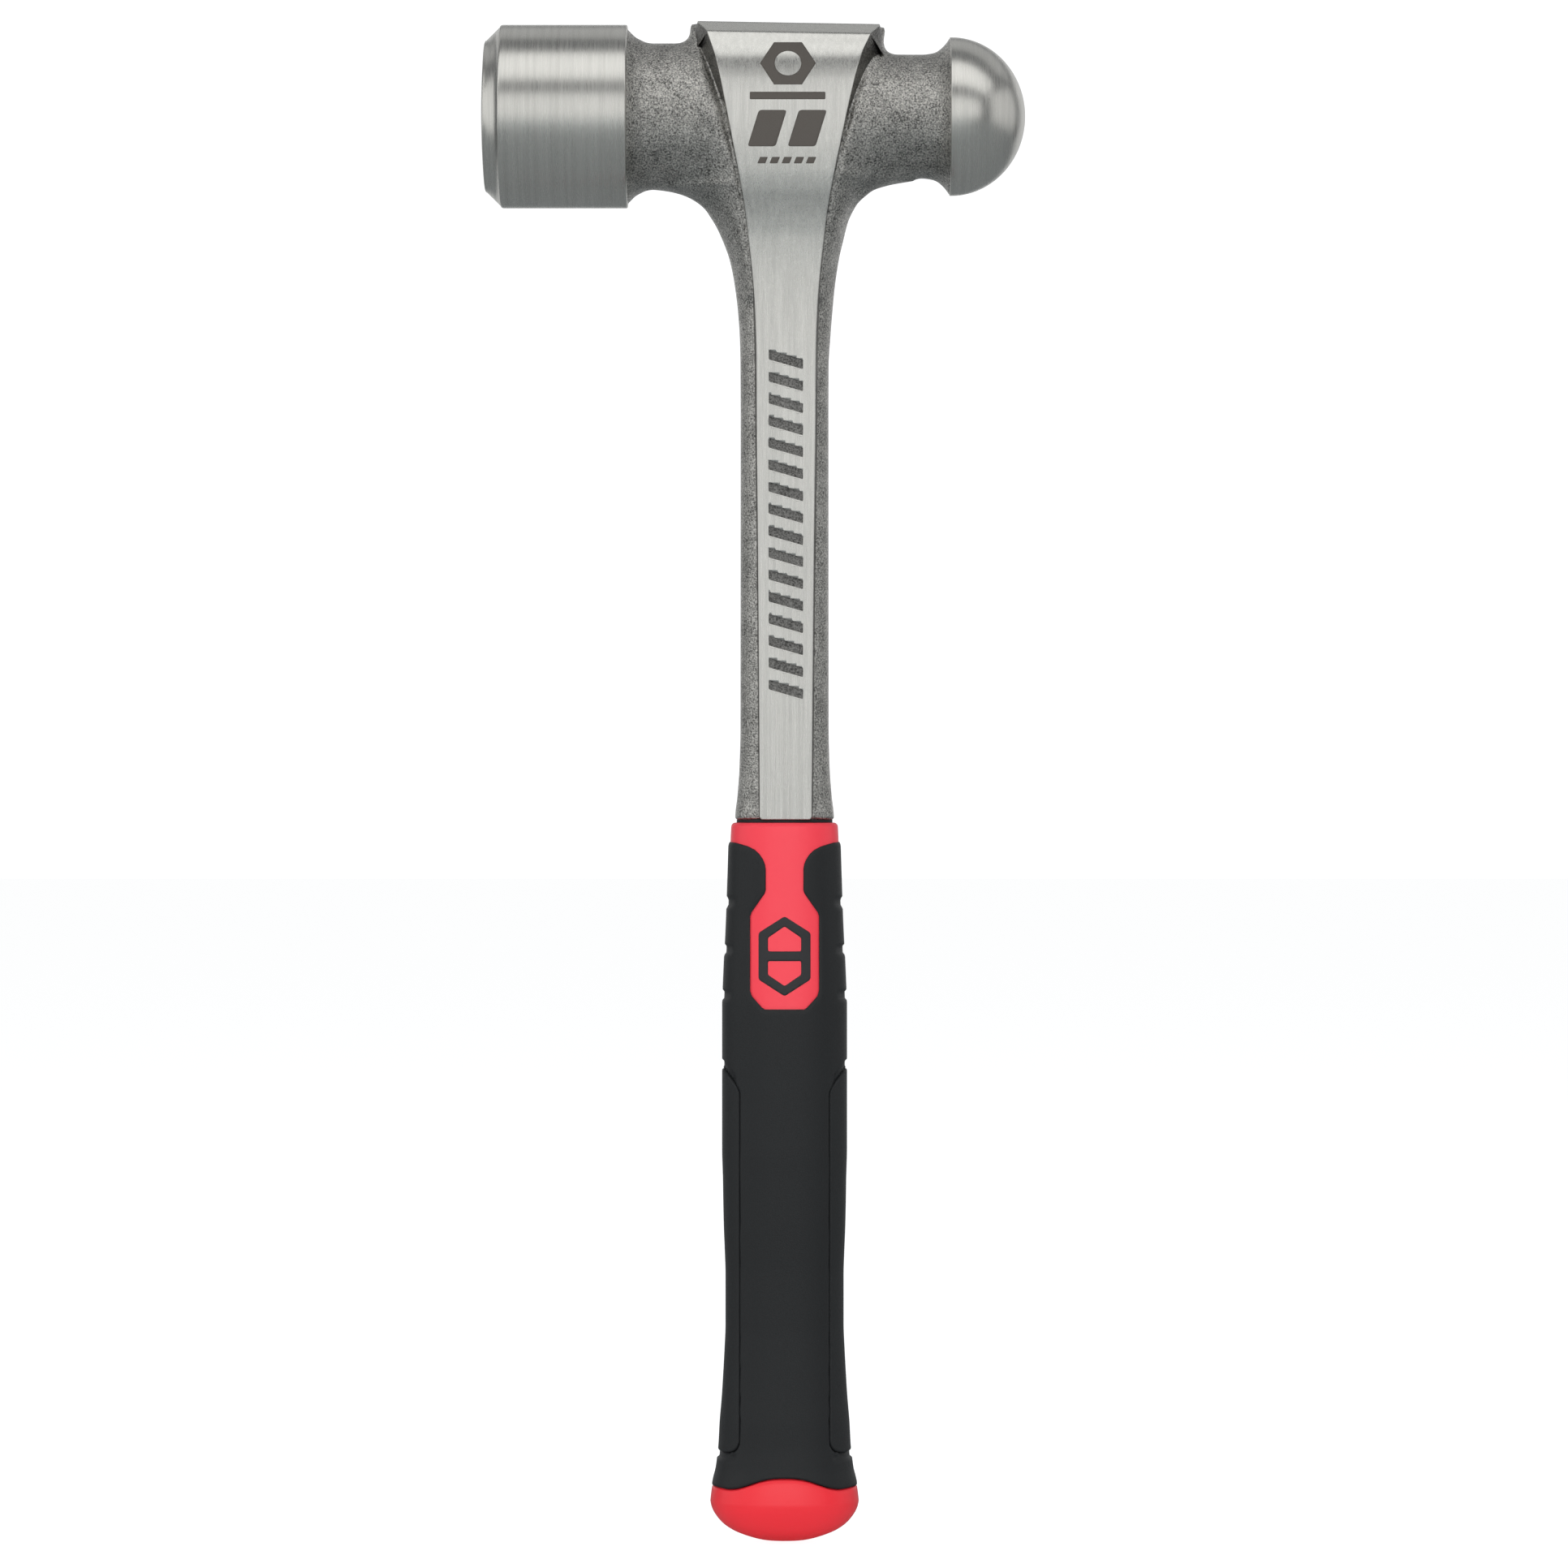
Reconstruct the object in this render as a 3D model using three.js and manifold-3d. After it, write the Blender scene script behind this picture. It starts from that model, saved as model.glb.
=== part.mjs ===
// Ball peen hammer: a one-piece steel forging whose tang ends in a tuning fork,
// and a grip built round it.
// Millimetres, +Z up the shaft, +X towards the ball, -Y the front cheek.
// The origin is the middle of the grip.
import * as THREE from "three";
import { mergeVertices } from "three/addons/utils/BufferGeometryUtils.js";
import Module from "manifold-3d";

const wasm = await Module();
wasm.setup();

// ---- Driving dimensions: heights are laid out from the lowest point of the butt ----
const GAP = 0.3; // between pieces that touch
const GRIP_LENGTH = 191.8; // butt to the top of the collar
const SHAFT_REACH = 188.6; // collar to the head's axis

// Head, turned about X
const POLL_RADIUS = 24.4;
const POLL_FACE_X = -80.9;
const POLL_LENGTH = 38.7;
const POLL_CHAMFER = 4.7;
const POLL_CROWN = 0.5;
const POLL_NECK_RADIUS = 19.5;
const BALL_RADIUS = 21.15;
const BALL_X = 44.5; // the ball's widest circle
const BALL_DEPTH = 19.8;
const BALL_NECK_RADIUS = 16.8;
const NECK_GROOVE = 8.5; // length of the sweep from a neck up to the poll or ball

// Cheek: the block between the necks, arched over the top
const CHEEK_RISE = 25.6; // head axis to the top
const CHEEK_HALF_WIDTH = 26.4;
const CHEEK_HALF_THICKNESS = 17.8;
const CHEEK_ARCH = 2.8; // exponent of the arch
const CHEEK_TOP_FLAT = 1.6;

// Shaft
const SHAFT_HALF_WIDTH = 11.8;
const SHAFT_HALF_THICKNESS = 9.6;
const SHAFT_FOOT_HALF_WIDTH = 13.2;
const FOOT_LENGTH = 24;
const FLARE_LENGTH = 45; // underside of the head down to the straight shaft
const FLARE_TO_POLL = 18.5;
const FLARE_TO_BALL = 16.2;
const PANEL_TOP_HALF_WIDTH = 21.8;
const PANEL_HALF_WIDTH = 7.8; // top of the straight shaft
const PANEL_FOOT_HALF_WIDTH = 6.9;
const PANEL_STEP = 0.4; // the panel's crown over the forged body

// Tang and tuning fork
const TANG_HALF_WIDTH = 7.2;
const TANG_HALF_THICKNESS = 4.8;
const FORK_LENGTH = 84;
const FORK_TIP_HEIGHT = 30; // above the butt
const FORK_SLOT = 4.4;
const ARM_WIDTH = 3.4;
const ARM_HALF_THICKNESS = 3.9;
const ARM_WEIGHT_WIDTH = 4.6;
const ARM_WEIGHT_LENGTH = 14;

// Fork sleeve, in a front and a back half
const SLEEVE_WALL = 1.8;
const SLEEVE_AIR = 1.5; // free room beside the fork's arms
const ARM_PLAY = 2; // free room in front of them and behind
const SLEEVE_POWER = 3; // roundness of its section
const SLEEVE_COLLAR = 12; // the length that grips the tang
const SLEEVE_PLUG = 4.5; // solid end under the fork
const PEG_RADIUS = 0.6;
const PEG_LENGTH = 2;
const PEG_X = 3.4; // the pegs in the plug, from the middle

// Grip: half widths; the section is an oval, thinner front to back
const COLLAR_HALF_WIDTH = 14.2;
const GRIP_TOP_HALF_WIDTH = 15;
const BELLY_HALF_WIDTH = 16.75;
const BELLY_FROM_COLLAR = 60;
const WAIST_HALF_WIDTH = 15.8;
const WAIST_HEIGHT = 62;
const FLARE_HALF_WIDTH = 17.7;
const FLARE_HEIGHT = 25.6;
const BUTT_HALF_WIDTH = 19.85;
const BUTT_HEIGHT = 10.8; // widest line, and the dome's depth
const OVAL = 0.8; // thickness over width
const OVAL_POWER = 2.3;
const OVERMOULD = 1.8;
const PROUD = 0.45; // overmould above the red core
const COLLAR_SEAT = 0.8; // steel shoulder above the collar
const GASKET = 1;
const GASKET_RIM = 1.5;

// Window in the overmould, front and back, measured down from the collar
const WINDOW = {
  edge: 4.8,
  neckTop: 11,
  neckFoot: 18.7,
  panelTop: 24.8,
  panelFoot: 44.7,
  foot: 49.5,
  neckHalf: 5,
  panelHalf: 9.15,
  footHalf: 5.6,
};

// Badge: a tall hexagon with two openings, let into the window
const BADGE = {
  fromCollar: 35.4,
  halfWidth: 6.9,
  halfHeight: 10.6,
  shoulder: 6.2, // half the height of its upright sides
  band: 2.5,
  bridge: 2.6,
  depth: 1.6,
};

// Sides of the grip
const RIB_FROM_COLLAR = [21.3, 33.9, 46];
const RIB_HEIGHT = 2.8;
const RIB_DEPTH = 0.5;
const PAD_TOP = 66; // from the collar, at the grip's edge
const PAD_SLANT = 5;
const PAD_FOOT = 24.2; // above the butt
const PAD_EDGE_X = 12.1;
const PAD_THICKNESS = 1.2;
const PAD_CORNER = 3;
const CHANNEL = 1.6; // groove round the pad's ends

// Wave between the overmould and the butt cap
const WAVE_MID = 16.4;
const WAVE_HEIGHT = 1.6;
const WAVE_REACH = 15.2; // level from here out
const SPIGOT_LENGTH = 6;

// ---- Heights that follow ----
const collar = GRIP_LENGTH;
const shoulder = collar + COLLAR_SEAT;
const headAxis = collar + SHAFT_REACH;
const cheekTop = headAxis + CHEEK_RISE;
const forkCrotch = FORK_TIP_HEIGHT + FORK_LENGTH;
const sleeveTop = forkCrotch + SLEEVE_COLLAR;
const sleeveFoot = FORK_TIP_HEIGHT - SLEEVE_AIR - SLEEVE_PLUG;
const coreFoot = WAVE_MID + WAVE_HEIGHT + 2 * GAP;
const flareTop = headAxis - POLL_NECK_RADIUS;
const shaftFlatTop = headAxis - 95; // the shaft's flats are parallel from the shoulder up to here

// Facets round a section and levels along the grip
const RING = 32;
const GRIP_LEVELS = 24;

// ---- Materials ----
const finish = (color, roughness, metalness) =>
  new THREE.MeshStandardMaterial({ color, roughness, metalness });
const steel = finish(0x8d8f8d, 0.42, 1);
const red = finish(0xe23644, 0.42, 0);
const blackRubber = finish(0x26292a, 0.75, 0);
const padRubber = finish(0x2b2e2f, 0.8, 0);
const greyNylon = finish(0x55585a, 0.6, 0);
const gasketRubber = finish(0x141516, 0.85, 0);

// ---- Curves ----
// A smooth, monotone curve through [position, value] stations.
function through(stations) {
  const points = [...stations].sort((a, b) => a[0] - b[0]);
  const count = points.length;
  const slopes = points.slice(1).map(([x, y], i) => (y - points[i][1]) / (x - points[i][0]));
  const tangents = points.map((_, i) => {
    if (i === 0 || i === count - 1) return slopes[Math.min(i, count - 2)];
    const [before, after] = [slopes[i - 1], slopes[i]];
    return before * after <= 0 ? 0 : (2 * before * after) / (before + after);
  });
  return (x) => {
    if (x <= points[0][0]) return points[0][1];
    if (x >= points[count - 1][0]) return points[count - 1][1];
    const i = points.findIndex((p, k) => k < count - 1 && x <= points[k + 1][0]);
    const step = points[i + 1][0] - points[i][0];
    const t = (x - points[i][0]) / step;
    const rise = 3 * t ** 2 - 2 * t ** 3;
    const value = (1 - rise) * points[i][1] + rise * points[i + 1][1];
    return value + step * ((t ** 3 - 2 * t ** 2 + t) * tangents[i] + (t ** 3 - t ** 2) * tangents[i + 1]);
  };
}

const steps = (from, to, count) =>
  Array.from({ length: count + 1 }, (_, i) => from + ((to - from) * i) / count);

// Half thickness of the polished panel at height z: from the cheek's, which holds for a little way
// below the head's axis, in a long ogee down to the shaft's.
const fromShaft = (share) => SHAFT_HALF_THICKNESS + share * (CHEEK_HALF_THICKNESS - SHAFT_HALF_THICKNESS);
const taper = through([
  [headAxis, fromShaft(0.98)],
  [headAxis - 7, fromShaft(0.87)],
  [headAxis - 16, fromShaft(0.67)],
  [headAxis - 24, fromShaft(0.48)],
  [headAxis - 33, fromShaft(0.28)],
  [headAxis - 42, fromShaft(0.13)],
  [headAxis - 60, fromShaft(0)],
  [shoulder, SHAFT_HALF_THICKNESS],
]);
function panelThickness(z) {
  if (z <= headAxis) return taper(z);
  const rise = Math.min(1, (z - headAxis) / CHEEK_RISE);
  const arch = (1 - rise ** CHEEK_ARCH) ** (1 / CHEEK_ARCH);
  return Math.max(CHEEK_TOP_FLAT, fromShaft(0.98) * arch);
}

// Half width of the polished panel.
const panelWidth = through([
  [cheekTop - 4, PANEL_TOP_HALF_WIDTH],
  [headAxis, PANEL_TOP_HALF_WIDTH - 5.8],
  [headAxis - 17, PANEL_TOP_HALF_WIDTH - 9.3],
  [headAxis - 34, PANEL_HALF_WIDTH + 2],
  [headAxis - 60, PANEL_HALF_WIDTH],
  [shoulder + 2, PANEL_FOOT_HALF_WIDTH],
]);

// Half width of the forged body on one side: foot, straight shaft, elliptical flare, then the cheek.
function bodyWidth(flare) {
  const straight = through([
    [shoulder, SHAFT_FOOT_HALF_WIDTH],
    [shoulder + FOOT_LENGTH / 2, SHAFT_HALF_WIDTH + 0.4],
    [shoulder + FOOT_LENGTH, SHAFT_HALF_WIDTH],
  ]);
  const cheek = through([
    [flareTop, SHAFT_HALF_WIDTH + flare],
    [flareTop + 7, CHEEK_HALF_WIDTH - 2],
    [headAxis, CHEEK_HALF_WIDTH - 5.4],
    [headAxis + 14, CHEEK_HALF_WIDTH - 2.6],
    [cheekTop - 4, CHEEK_HALF_WIDTH],
  ]);
  return (z) => {
    if (z > flareTop) return cheek(z);
    const u = Math.max(0, 1 - (flareTop - z) / FLARE_LENGTH);
    return straight(z) + flare * (1 - Math.sqrt(1 - u * u));
  };
}

// Half width of the grip's outside.
const gripWidth = through([
  [0, BUTT_HALF_WIDTH],
  [BUTT_HEIGHT, BUTT_HALF_WIDTH],
  [FLARE_HEIGHT, FLARE_HALF_WIDTH],
  [WAIST_HEIGHT, WAIST_HALF_WIDTH],
  [collar - BELLY_FROM_COLLAR, BELLY_HALF_WIDTH],
  [collar - WINDOW.panelTop, GRIP_TOP_HALF_WIDTH + 0.6],
  [collar - WINDOW.edge, GRIP_TOP_HALF_WIDTH],
  [collar, COLLAR_HALF_WIDTH + PROUD],
]);

// ---- Geometry helpers ----
const power = (value, exponent) => Math.sign(value) * Math.abs(value) ** exponent;

// A ring of points on a superellipse whose half width may differ on its two sides.
function oval(z, poll, ball, thickness, exponent, count) {
  return steps(0, 2 * Math.PI, count).slice(0, count).map((angle) => {
    const across = power(Math.cos(angle), 2 / exponent);
    const deep = power(Math.sin(angle), 2 / exponent);
    return [across * (across > 0 ? ball : poll), deep * thickness, z];
  });
}

// A closed skin over rings of equal point counts, each ring running anticlockwise seen from above.
function loft(rings) {
  const count = rings[0].length;
  const vertices = rings.flat(2);
  const faces = [];
  const quad = (a, b, c, d) => faces.push(a, b, c, a, c, d);
  rings.slice(1).forEach((_, level) => {
    for (let i = 0; i < count; i++) {
      const next = (i + 1) % count;
      const low = level * count;
      quad(low + i, low + next, low + count + next, low + count + i);
    }
  });
  const cap = (ring, level, up) => {
    const centre = vertices.length / 3;
    const mean = (axis) => ring.reduce((sum, p) => sum + p[axis], 0) / count;
    vertices.push(mean(0), mean(1), mean(2));
    for (let i = 0; i < count; i++) {
      const pair = [level * count + i, level * count + ((i + 1) % count)];
      faces.push(centre, ...(up ? pair : pair.reverse()));
    }
  };
  cap(rings[0], 0, false);
  cap(rings[rings.length - 1], rings.length - 1, true);
  const geometry = new THREE.BufferGeometry();
  geometry.setAttribute("position", new THREE.Float32BufferAttribute(vertices, 3));
  return geometry.setIndex(faces);
}

// A closed geometry as a solid that can be cut and joined.
function solid(geometry) {
  const bare = geometry.index ? geometry.toNonIndexed() : geometry.clone();
  bare.deleteAttribute("normal");
  bare.deleteAttribute("uv");
  const merged = mergeVertices(bare, 1e-4);
  return new wasm.Manifold(
    new wasm.Mesh({
      numProp: 3,
      vertProperties: merged.attributes.position.array,
      triVerts: new Uint32Array(merged.index.array),
    }),
  );
}

function mesh(name, made, material) {
  const { vertProperties, triVerts } = made.getMesh();
  const geometry = new THREE.BufferGeometry();
  geometry.setAttribute("position", new THREE.BufferAttribute(vertProperties, 3));
  geometry.setIndex(new THREE.BufferAttribute(triVerts, 1));
  geometry.computeVertexNormals();
  const shown = new THREE.Mesh(geometry, material);
  shown.name = name;
  return shown;
}

// A block between two corners.
function block(low, high) {
  const size = high.map((value, i) => value - low[i]);
  const centre = high.map((value, i) => (value + low[i]) / 2);
  return solid(new THREE.BoxGeometry(...size).translate(...centre));
}

// A block symmetric about the shaft's axis in X and Y.
const column = (halfWidth, halfThickness, foot, top) =>
  block([-halfWidth, -halfThickness, foot], [halfWidth, halfThickness, top]);

// The same with the rounded section of the fork's sleeve.
const roundColumn = (halfWidth, halfThickness, foot, top) =>
  solid(loft([foot, top].map((z) => oval(z, halfWidth, halfWidth, halfThickness, SLEEVE_POWER, 24))));

// A shape drawn in X and Z, run from front to back between two Y values.
function prism(shape, front, back, curveSegments = 8) {
  const depth = back - front;
  const geometry = new THREE.ExtrudeGeometry(shape, { depth, bevelEnabled: false, curveSegments });
  return solid(geometry.rotateX(Math.PI / 2).translate(0, back, 0));
}

// A profile of [x, radius] points turned about the head's axis.
function turned(profile, segments) {
  const points = profile.map(([x, radius]) => new THREE.Vector2(radius, x));
  const geometry = new THREE.LatheGeometry(points, segments).rotateZ(-Math.PI / 2);
  return solid(geometry.translate(0, 0, headAxis));
}

// A rod of radius r along Y.
function rodAlongY(radius, x, z, from, to) {
  const geometry = new THREE.CylinderGeometry(radius, radius, to - from, 12);
  return solid(geometry.translate(x, (from + to) / 2, z));
}

// The grip's oval skin, taken in by inset, between two heights. All the skins share their levels.
function gripSkin(inset, foot, top) {
  const shared = steps(0, GRIP_LENGTH, GRIP_LEVELS).filter((z) => z > foot + 1 && z < top - 1);
  const rings = [foot, ...shared, top].map((z) => {
    const half = gripWidth(z);
    return oval(z, half - inset, half - inset, half * OVAL - inset, OVAL_POWER, RING);
  });
  return solid(loft(rings));
}

// ---- The forging ----
function headProfile() {
  const faceRadius = POLL_RADIUS - POLL_CHAMFER;
  const pollEnd = POLL_FACE_X + POLL_LENGTH;
  const crown = steps(0, 1, 4).map((t) => [POLL_FACE_X + POLL_CROWN * t * t, faceRadius * t]);
  // The sweep from a neck up to the poll or the ball, as a quarter of an ellipse.
  const sweep = (edge, neck, rise, direction) =>
    steps(0, Math.PI / 2, 5).map((a) => [
      edge + direction * NECK_GROOVE * (1 - Math.cos(a)),
      neck + rise * (1 - Math.sin(a)),
    ]);
  const ballNeckRise = BALL_RADIUS - BALL_NECK_RADIUS;
  const ball = steps(0, Math.PI / 2, 10).map((a) => [
    BALL_X + BALL_DEPTH * Math.sin(a),
    BALL_RADIUS * Math.cos(a),
  ]);
  ball[ball.length - 1][1] = 0;
  return [
    ...crown,
    [POLL_FACE_X + POLL_CROWN + POLL_CHAMFER, POLL_RADIUS],
    [pollEnd, POLL_RADIUS],
    ...sweep(pollEnd + GAP, POLL_NECK_RADIUS, POLL_RADIUS - POLL_NECK_RADIUS, 1),
    [-PANEL_TOP_HALF_WIDTH - 2, POLL_NECK_RADIUS - 2],
    [PANEL_HALF_WIDTH - PANEL_TOP_HALF_WIDTH, POLL_NECK_RADIUS - 6],
    [PANEL_TOP_HALF_WIDTH - PANEL_HALF_WIDTH, BALL_NECK_RADIUS - 4],
    [PANEL_TOP_HALF_WIDTH + 2, BALL_NECK_RADIUS - 1.2],
    ...sweep(BALL_X - GAP, BALL_NECK_RADIUS, ballNeckRise, -1).reverse(),
    ...ball,
  ];
}

// Height on the cheek, from 0 at the head's axis to 1 at its top, with the steps closer at the top.
const cheekHeight = (share) => headAxis + CHEEK_RISE * Math.sin((share * Math.PI) / 2);

// The forged body of the cheek and shaft, without the polished panels.
function shaftBody() {
  const poll = bodyWidth(FLARE_TO_POLL);
  const ball = bodyWidth(FLARE_TO_BALL);
  const heights = [
    ...steps(shoulder, shoulder + FOOT_LENGTH, 3),
    shaftFlatTop,
    ...steps(flareTop - FLARE_LENGTH, flareTop, 9).slice(1),
    ...steps(flareTop, headAxis + CHEEK_RISE / 2, 4).slice(1),
    ...steps(0.5, 0.985, 6).slice(1).map(cheekHeight),
  ];
  const squareness = through([
    [flareTop - FLARE_LENGTH, 2.4],
    [flareTop, 1.9],
    [headAxis, 2.8],
    [cheekTop, 5],
  ]);
  const section = (z) => oval(z, poll(z), ball(z), panelThickness(z) - PANEL_STEP, squareness(z), RING);
  return solid(loft(heights.map(section)));
}

// The polished panels, front and back, as one slab through the forging.
function panels() {
  const heights = [
    shoulder + PANEL_STEP,
    ...steps(shaftFlatTop, headAxis + CHEEK_RISE / 2, 13),
    ...steps(1 / 3, 1, 8).slice(1).map(cheekHeight),
  ];
  return solid(
    loft(
      heights.map((z) => {
        const [half, deep] = [panelWidth(z), panelThickness(z)];
        return [[-half, -deep, z], [half, -deep, z], [half, deep, z], [-half, deep, z]];
      }),
    ),
  );
}

function tangAndFork() {
  const inner = FORK_SLOT / 2;
  const tang = column(TANG_HALF_WIDTH, TANG_HALF_THICKNESS, forkCrotch, shoulder + 1);
  const arm = (side) => {
    const edges = (from, to) => [Math.min(side * from, side * to), Math.max(side * from, side * to)];
    const [armLow, armHigh] = edges(inner, inner + ARM_WIDTH);
    const [weightLow, weightHigh] = edges(inner, inner + ARM_WEIGHT_WIDTH);
    const weightTop = FORK_TIP_HEIGHT + ARM_WEIGHT_LENGTH;
    const deep = ARM_HALF_THICKNESS;
    const blade = block([armLow, -deep, weightTop - 1], [armHigh, deep, forkCrotch + 1]);
    return blade.add(block([weightLow, -deep, FORK_TIP_HEIGHT], [weightHigh, deep, weightTop]));
  };
  return tang.add(arm(-1)).add(arm(1));
}

const forging = () => turned(headProfile(), 40).add(shaftBody()).add(panels()).add(tangAndFork());

// ---- The fork's sleeve ----
const weightReach = FORK_SLOT / 2 + ARM_WEIGHT_WIDTH;
const cavityHalfWidth = weightReach + SLEEVE_AIR;
const cavityHalfThickness = ARM_HALF_THICKNESS + ARM_PLAY;
const sleeveHalfWidth = cavityHalfWidth + SLEEVE_WALL;
const sleeveHalfThickness = cavityHalfThickness + SLEEVE_WALL;

function sleeve() {
  const cavityFoot = FORK_TIP_HEIGHT - SLEEVE_AIR;
  const cavity = roundColumn(cavityHalfWidth, cavityHalfThickness, cavityFoot, forkCrotch);
  const throat = column(TANG_HALF_WIDTH + GAP, TANG_HALF_THICKNESS + GAP, forkCrotch - 1, sleeveTop + 1);
  const outside = roundColumn(sleeveHalfWidth, sleeveHalfThickness, sleeveFoot, sleeveTop);
  return outside.subtract(cavity).subtract(throat);
}

function sleeveHalves() {
  const whole = sleeve();
  const half = (front) => {
    const near = front ? -sleeveHalfThickness - 1 : GAP / 2;
    const far = front ? -GAP / 2 : sleeveHalfThickness + 1;
    const low = [-sleeveHalfWidth - 1, near, sleeveFoot - 1];
    const high = [sleeveHalfWidth + 1, far, sleeveTop + 1];
    return whole.intersect(block(low, high));
  };
  const wallX = (TANG_HALF_WIDTH + GAP + sleeveHalfWidth) / 2;
  const pegs = [-1, 1].flatMap((side) => [
    [side * wallX, sleeveTop - SLEEVE_COLLAR / 2],
    [side * PEG_X, sleeveFoot + SLEEVE_PLUG / 2],
  ]);
  let [front, back] = [half(true), half(false)];
  for (const [x, z] of pegs) {
    front = front.add(rodAlongY(PEG_RADIUS, x, z, -PEG_LENGTH, PEG_LENGTH));
    back = back.subtract(rodAlongY(PEG_RADIUS + GAP, x, z, -1, PEG_LENGTH + GAP));
  }
  return [front, back];
}

// ---- The grip ----
// The keyhole window in X and Z, taken in by inset. Above its edge it covers the whole collar.
function windowShape(inset) {
  const w = WINDOW;
  const [neck, panel, foot] = [w.neckHalf - inset, w.panelHalf - inset, w.footHalf - inset / 2];
  const side = BUTT_HALF_WIDTH + 2;
  const edge = collar - w.edge + inset;
  const shape = new THREE.Shape();
  shape.moveTo(-side, edge);
  shape.lineTo(-COLLAR_HALF_WIDTH, edge);
  shape.bezierCurveTo(-w.panelHalf, edge - 1, -neck, edge - 2, -neck, collar - w.neckTop);
  shape.lineTo(-neck, collar - w.neckFoot);
  shape.lineTo(-panel, collar - w.panelTop);
  shape.lineTo(-panel, collar - w.panelFoot);
  shape.lineTo(-foot, collar - w.foot + inset);
  shape.lineTo(foot, collar - w.foot + inset);
  shape.lineTo(panel, collar - w.panelFoot);
  shape.lineTo(panel, collar - w.panelTop);
  shape.lineTo(neck, collar - w.neckFoot);
  shape.lineTo(neck, collar - w.neckTop);
  shape.bezierCurveTo(neck, edge - 2, w.panelHalf, edge - 1, COLLAR_HALF_WIDTH, edge);
  shape.lineTo(side, edge);
  shape.lineTo(side, collar + 5);
  shape.lineTo(-side, collar + 5);
  return shape;
}

// The wave that parts the overmould from the butt cap: highest in the middle, level near the sides.
const waveHeight = (x) => WAVE_MID + WAVE_HEIGHT * Math.cos(Math.PI * Math.min(Math.abs(x) / WAVE_REACH, 1) ** 1.35);

// Everything below the wave, lowered by drop.
function belowWave(drop) {
  const side = BUTT_HALF_WIDTH + 2;
  const shape = new THREE.Shape();
  shape.moveTo(-side, -5);
  shape.lineTo(side, -5);
  for (const x of steps(side, -side, 22)) {
    shape.lineTo(x, waveHeight(x) - drop);
  }
  return prism(shape, -side, side);
}

const acrossGrip = (inset) => prism(windowShape(inset), -BUTT_HALF_WIDTH, BUTT_HALF_WIDTH);

const badgeMiddle = collar - BADGE.fromCollar;

function badgeShape(grow) {
  const [x, low, high] = [BADGE.halfWidth + grow, BADGE.shoulder, BADGE.halfHeight + grow];
  const corners = [[x, low], [0, high], [-x, low], [-x, -low], [0, -high], [x, -low]];
  return new THREE.Shape(corners.map(([u, v]) => new THREE.Vector2(u, badgeMiddle + v)));
}

// The opening above the bridge, or the one below it when side is -1.
function badgeOpening(side) {
  const x = BADGE.halfWidth - BADGE.band;
  const corners = [
    [x, BADGE.bridge / 2],
    [x, BADGE.shoulder - BADGE.band / 2],
    [0, BADGE.halfHeight - BADGE.band],
    [-x, BADGE.shoulder - BADGE.band / 2],
    [-x, BADGE.bridge / 2],
  ];
  const points = corners.map(([u, v]) => new THREE.Vector2(side * u, badgeMiddle + side * v));
  return prism(new THREE.Shape(points), -BUTT_HALF_WIDTH, BUTT_HALF_WIDTH);
}

// The badge's bed starts below the window's surface and runs out past it.
function badgeBed(side, grow) {
  const surface = gripWidth(badgeMiddle) * OVAL - PROUD;
  const [from, to] = [surface - BADGE.depth - grow, BUTT_HALF_WIDTH];
  return side < 0 ? prism(badgeShape(grow), -to, -from) : prism(badgeShape(grow), from, to);
}

function badge(side) {
  const reach = BADGE.halfHeight + 1;
  const skin = gripSkin(PROUD, badgeMiddle - reach, badgeMiddle + reach);
  return badgeBed(side, 0).subtract(badgeOpening(1)).subtract(badgeOpening(-1)).intersect(skin);
}

function core() {
  const inside = gripSkin(OVERMOULD + GAP, coreFoot, collar - WINDOW.edge);
  const shown = gripSkin(PROUD, collar - WINDOW.foot - 1, collar).intersect(acrossGrip(GAP));
  const gasketBed = column(
    TANG_HALF_WIDTH + GASKET_RIM + GAP,
    TANG_HALF_THICKNESS + GASKET_RIM + GAP,
    shoulder - GAP - GASKET - GAP,
    collar + 1,
  );
  const sleeveBore = roundColumn(
    sleeveHalfWidth + GAP,
    sleeveHalfThickness + GAP,
    coreFoot - 1,
    sleeveTop + GAP,
  );
  const tangBore = column(TANG_HALF_WIDTH + GAP, TANG_HALF_THICKNESS + GAP, sleeveTop, collar + 1);
  return inside
    .add(shown)
    .subtract(gasketBed)
    .subtract(sleeveBore)
    .subtract(tangBore)
    .subtract(badgeBed(-1, GAP))
    .subtract(badgeBed(1, GAP));
}

function gasket() {
  const top = shoulder - GAP;
  const [width, thickness] = [TANG_HALF_WIDTH, TANG_HALF_THICKNESS];
  const ring = column(width + GASKET_RIM, thickness + GASKET_RIM, top - GASKET, top);
  return ring.subtract(column(width + GAP, thickness + GAP, top - 2 * GASKET, top + GASKET));
}

// One side pad's outline as a slab across the grip: slanted at its top, rounded at its foot.
function padOutline(side, grow) {
  const [edge, out] = [side * (PAD_EDGE_X - grow), side * (BUTT_HALF_WIDTH + 2)];
  const top = collar - PAD_TOP + grow;
  const foot = PAD_FOOT - grow;
  const shape = new THREE.Shape();
  shape.moveTo(out, top + PAD_SLANT / 2);
  shape.lineTo(side * gripWidth(top), top);
  shape.lineTo(edge, top - PAD_SLANT);
  shape.lineTo(edge, foot + PAD_CORNER);
  shape.quadraticCurveTo(edge, foot, edge + side * PAD_CORNER, foot);
  shape.lineTo(out, foot);
  return prism(shape, -BUTT_HALF_WIDTH, BUTT_HALF_WIDTH);
}

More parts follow.
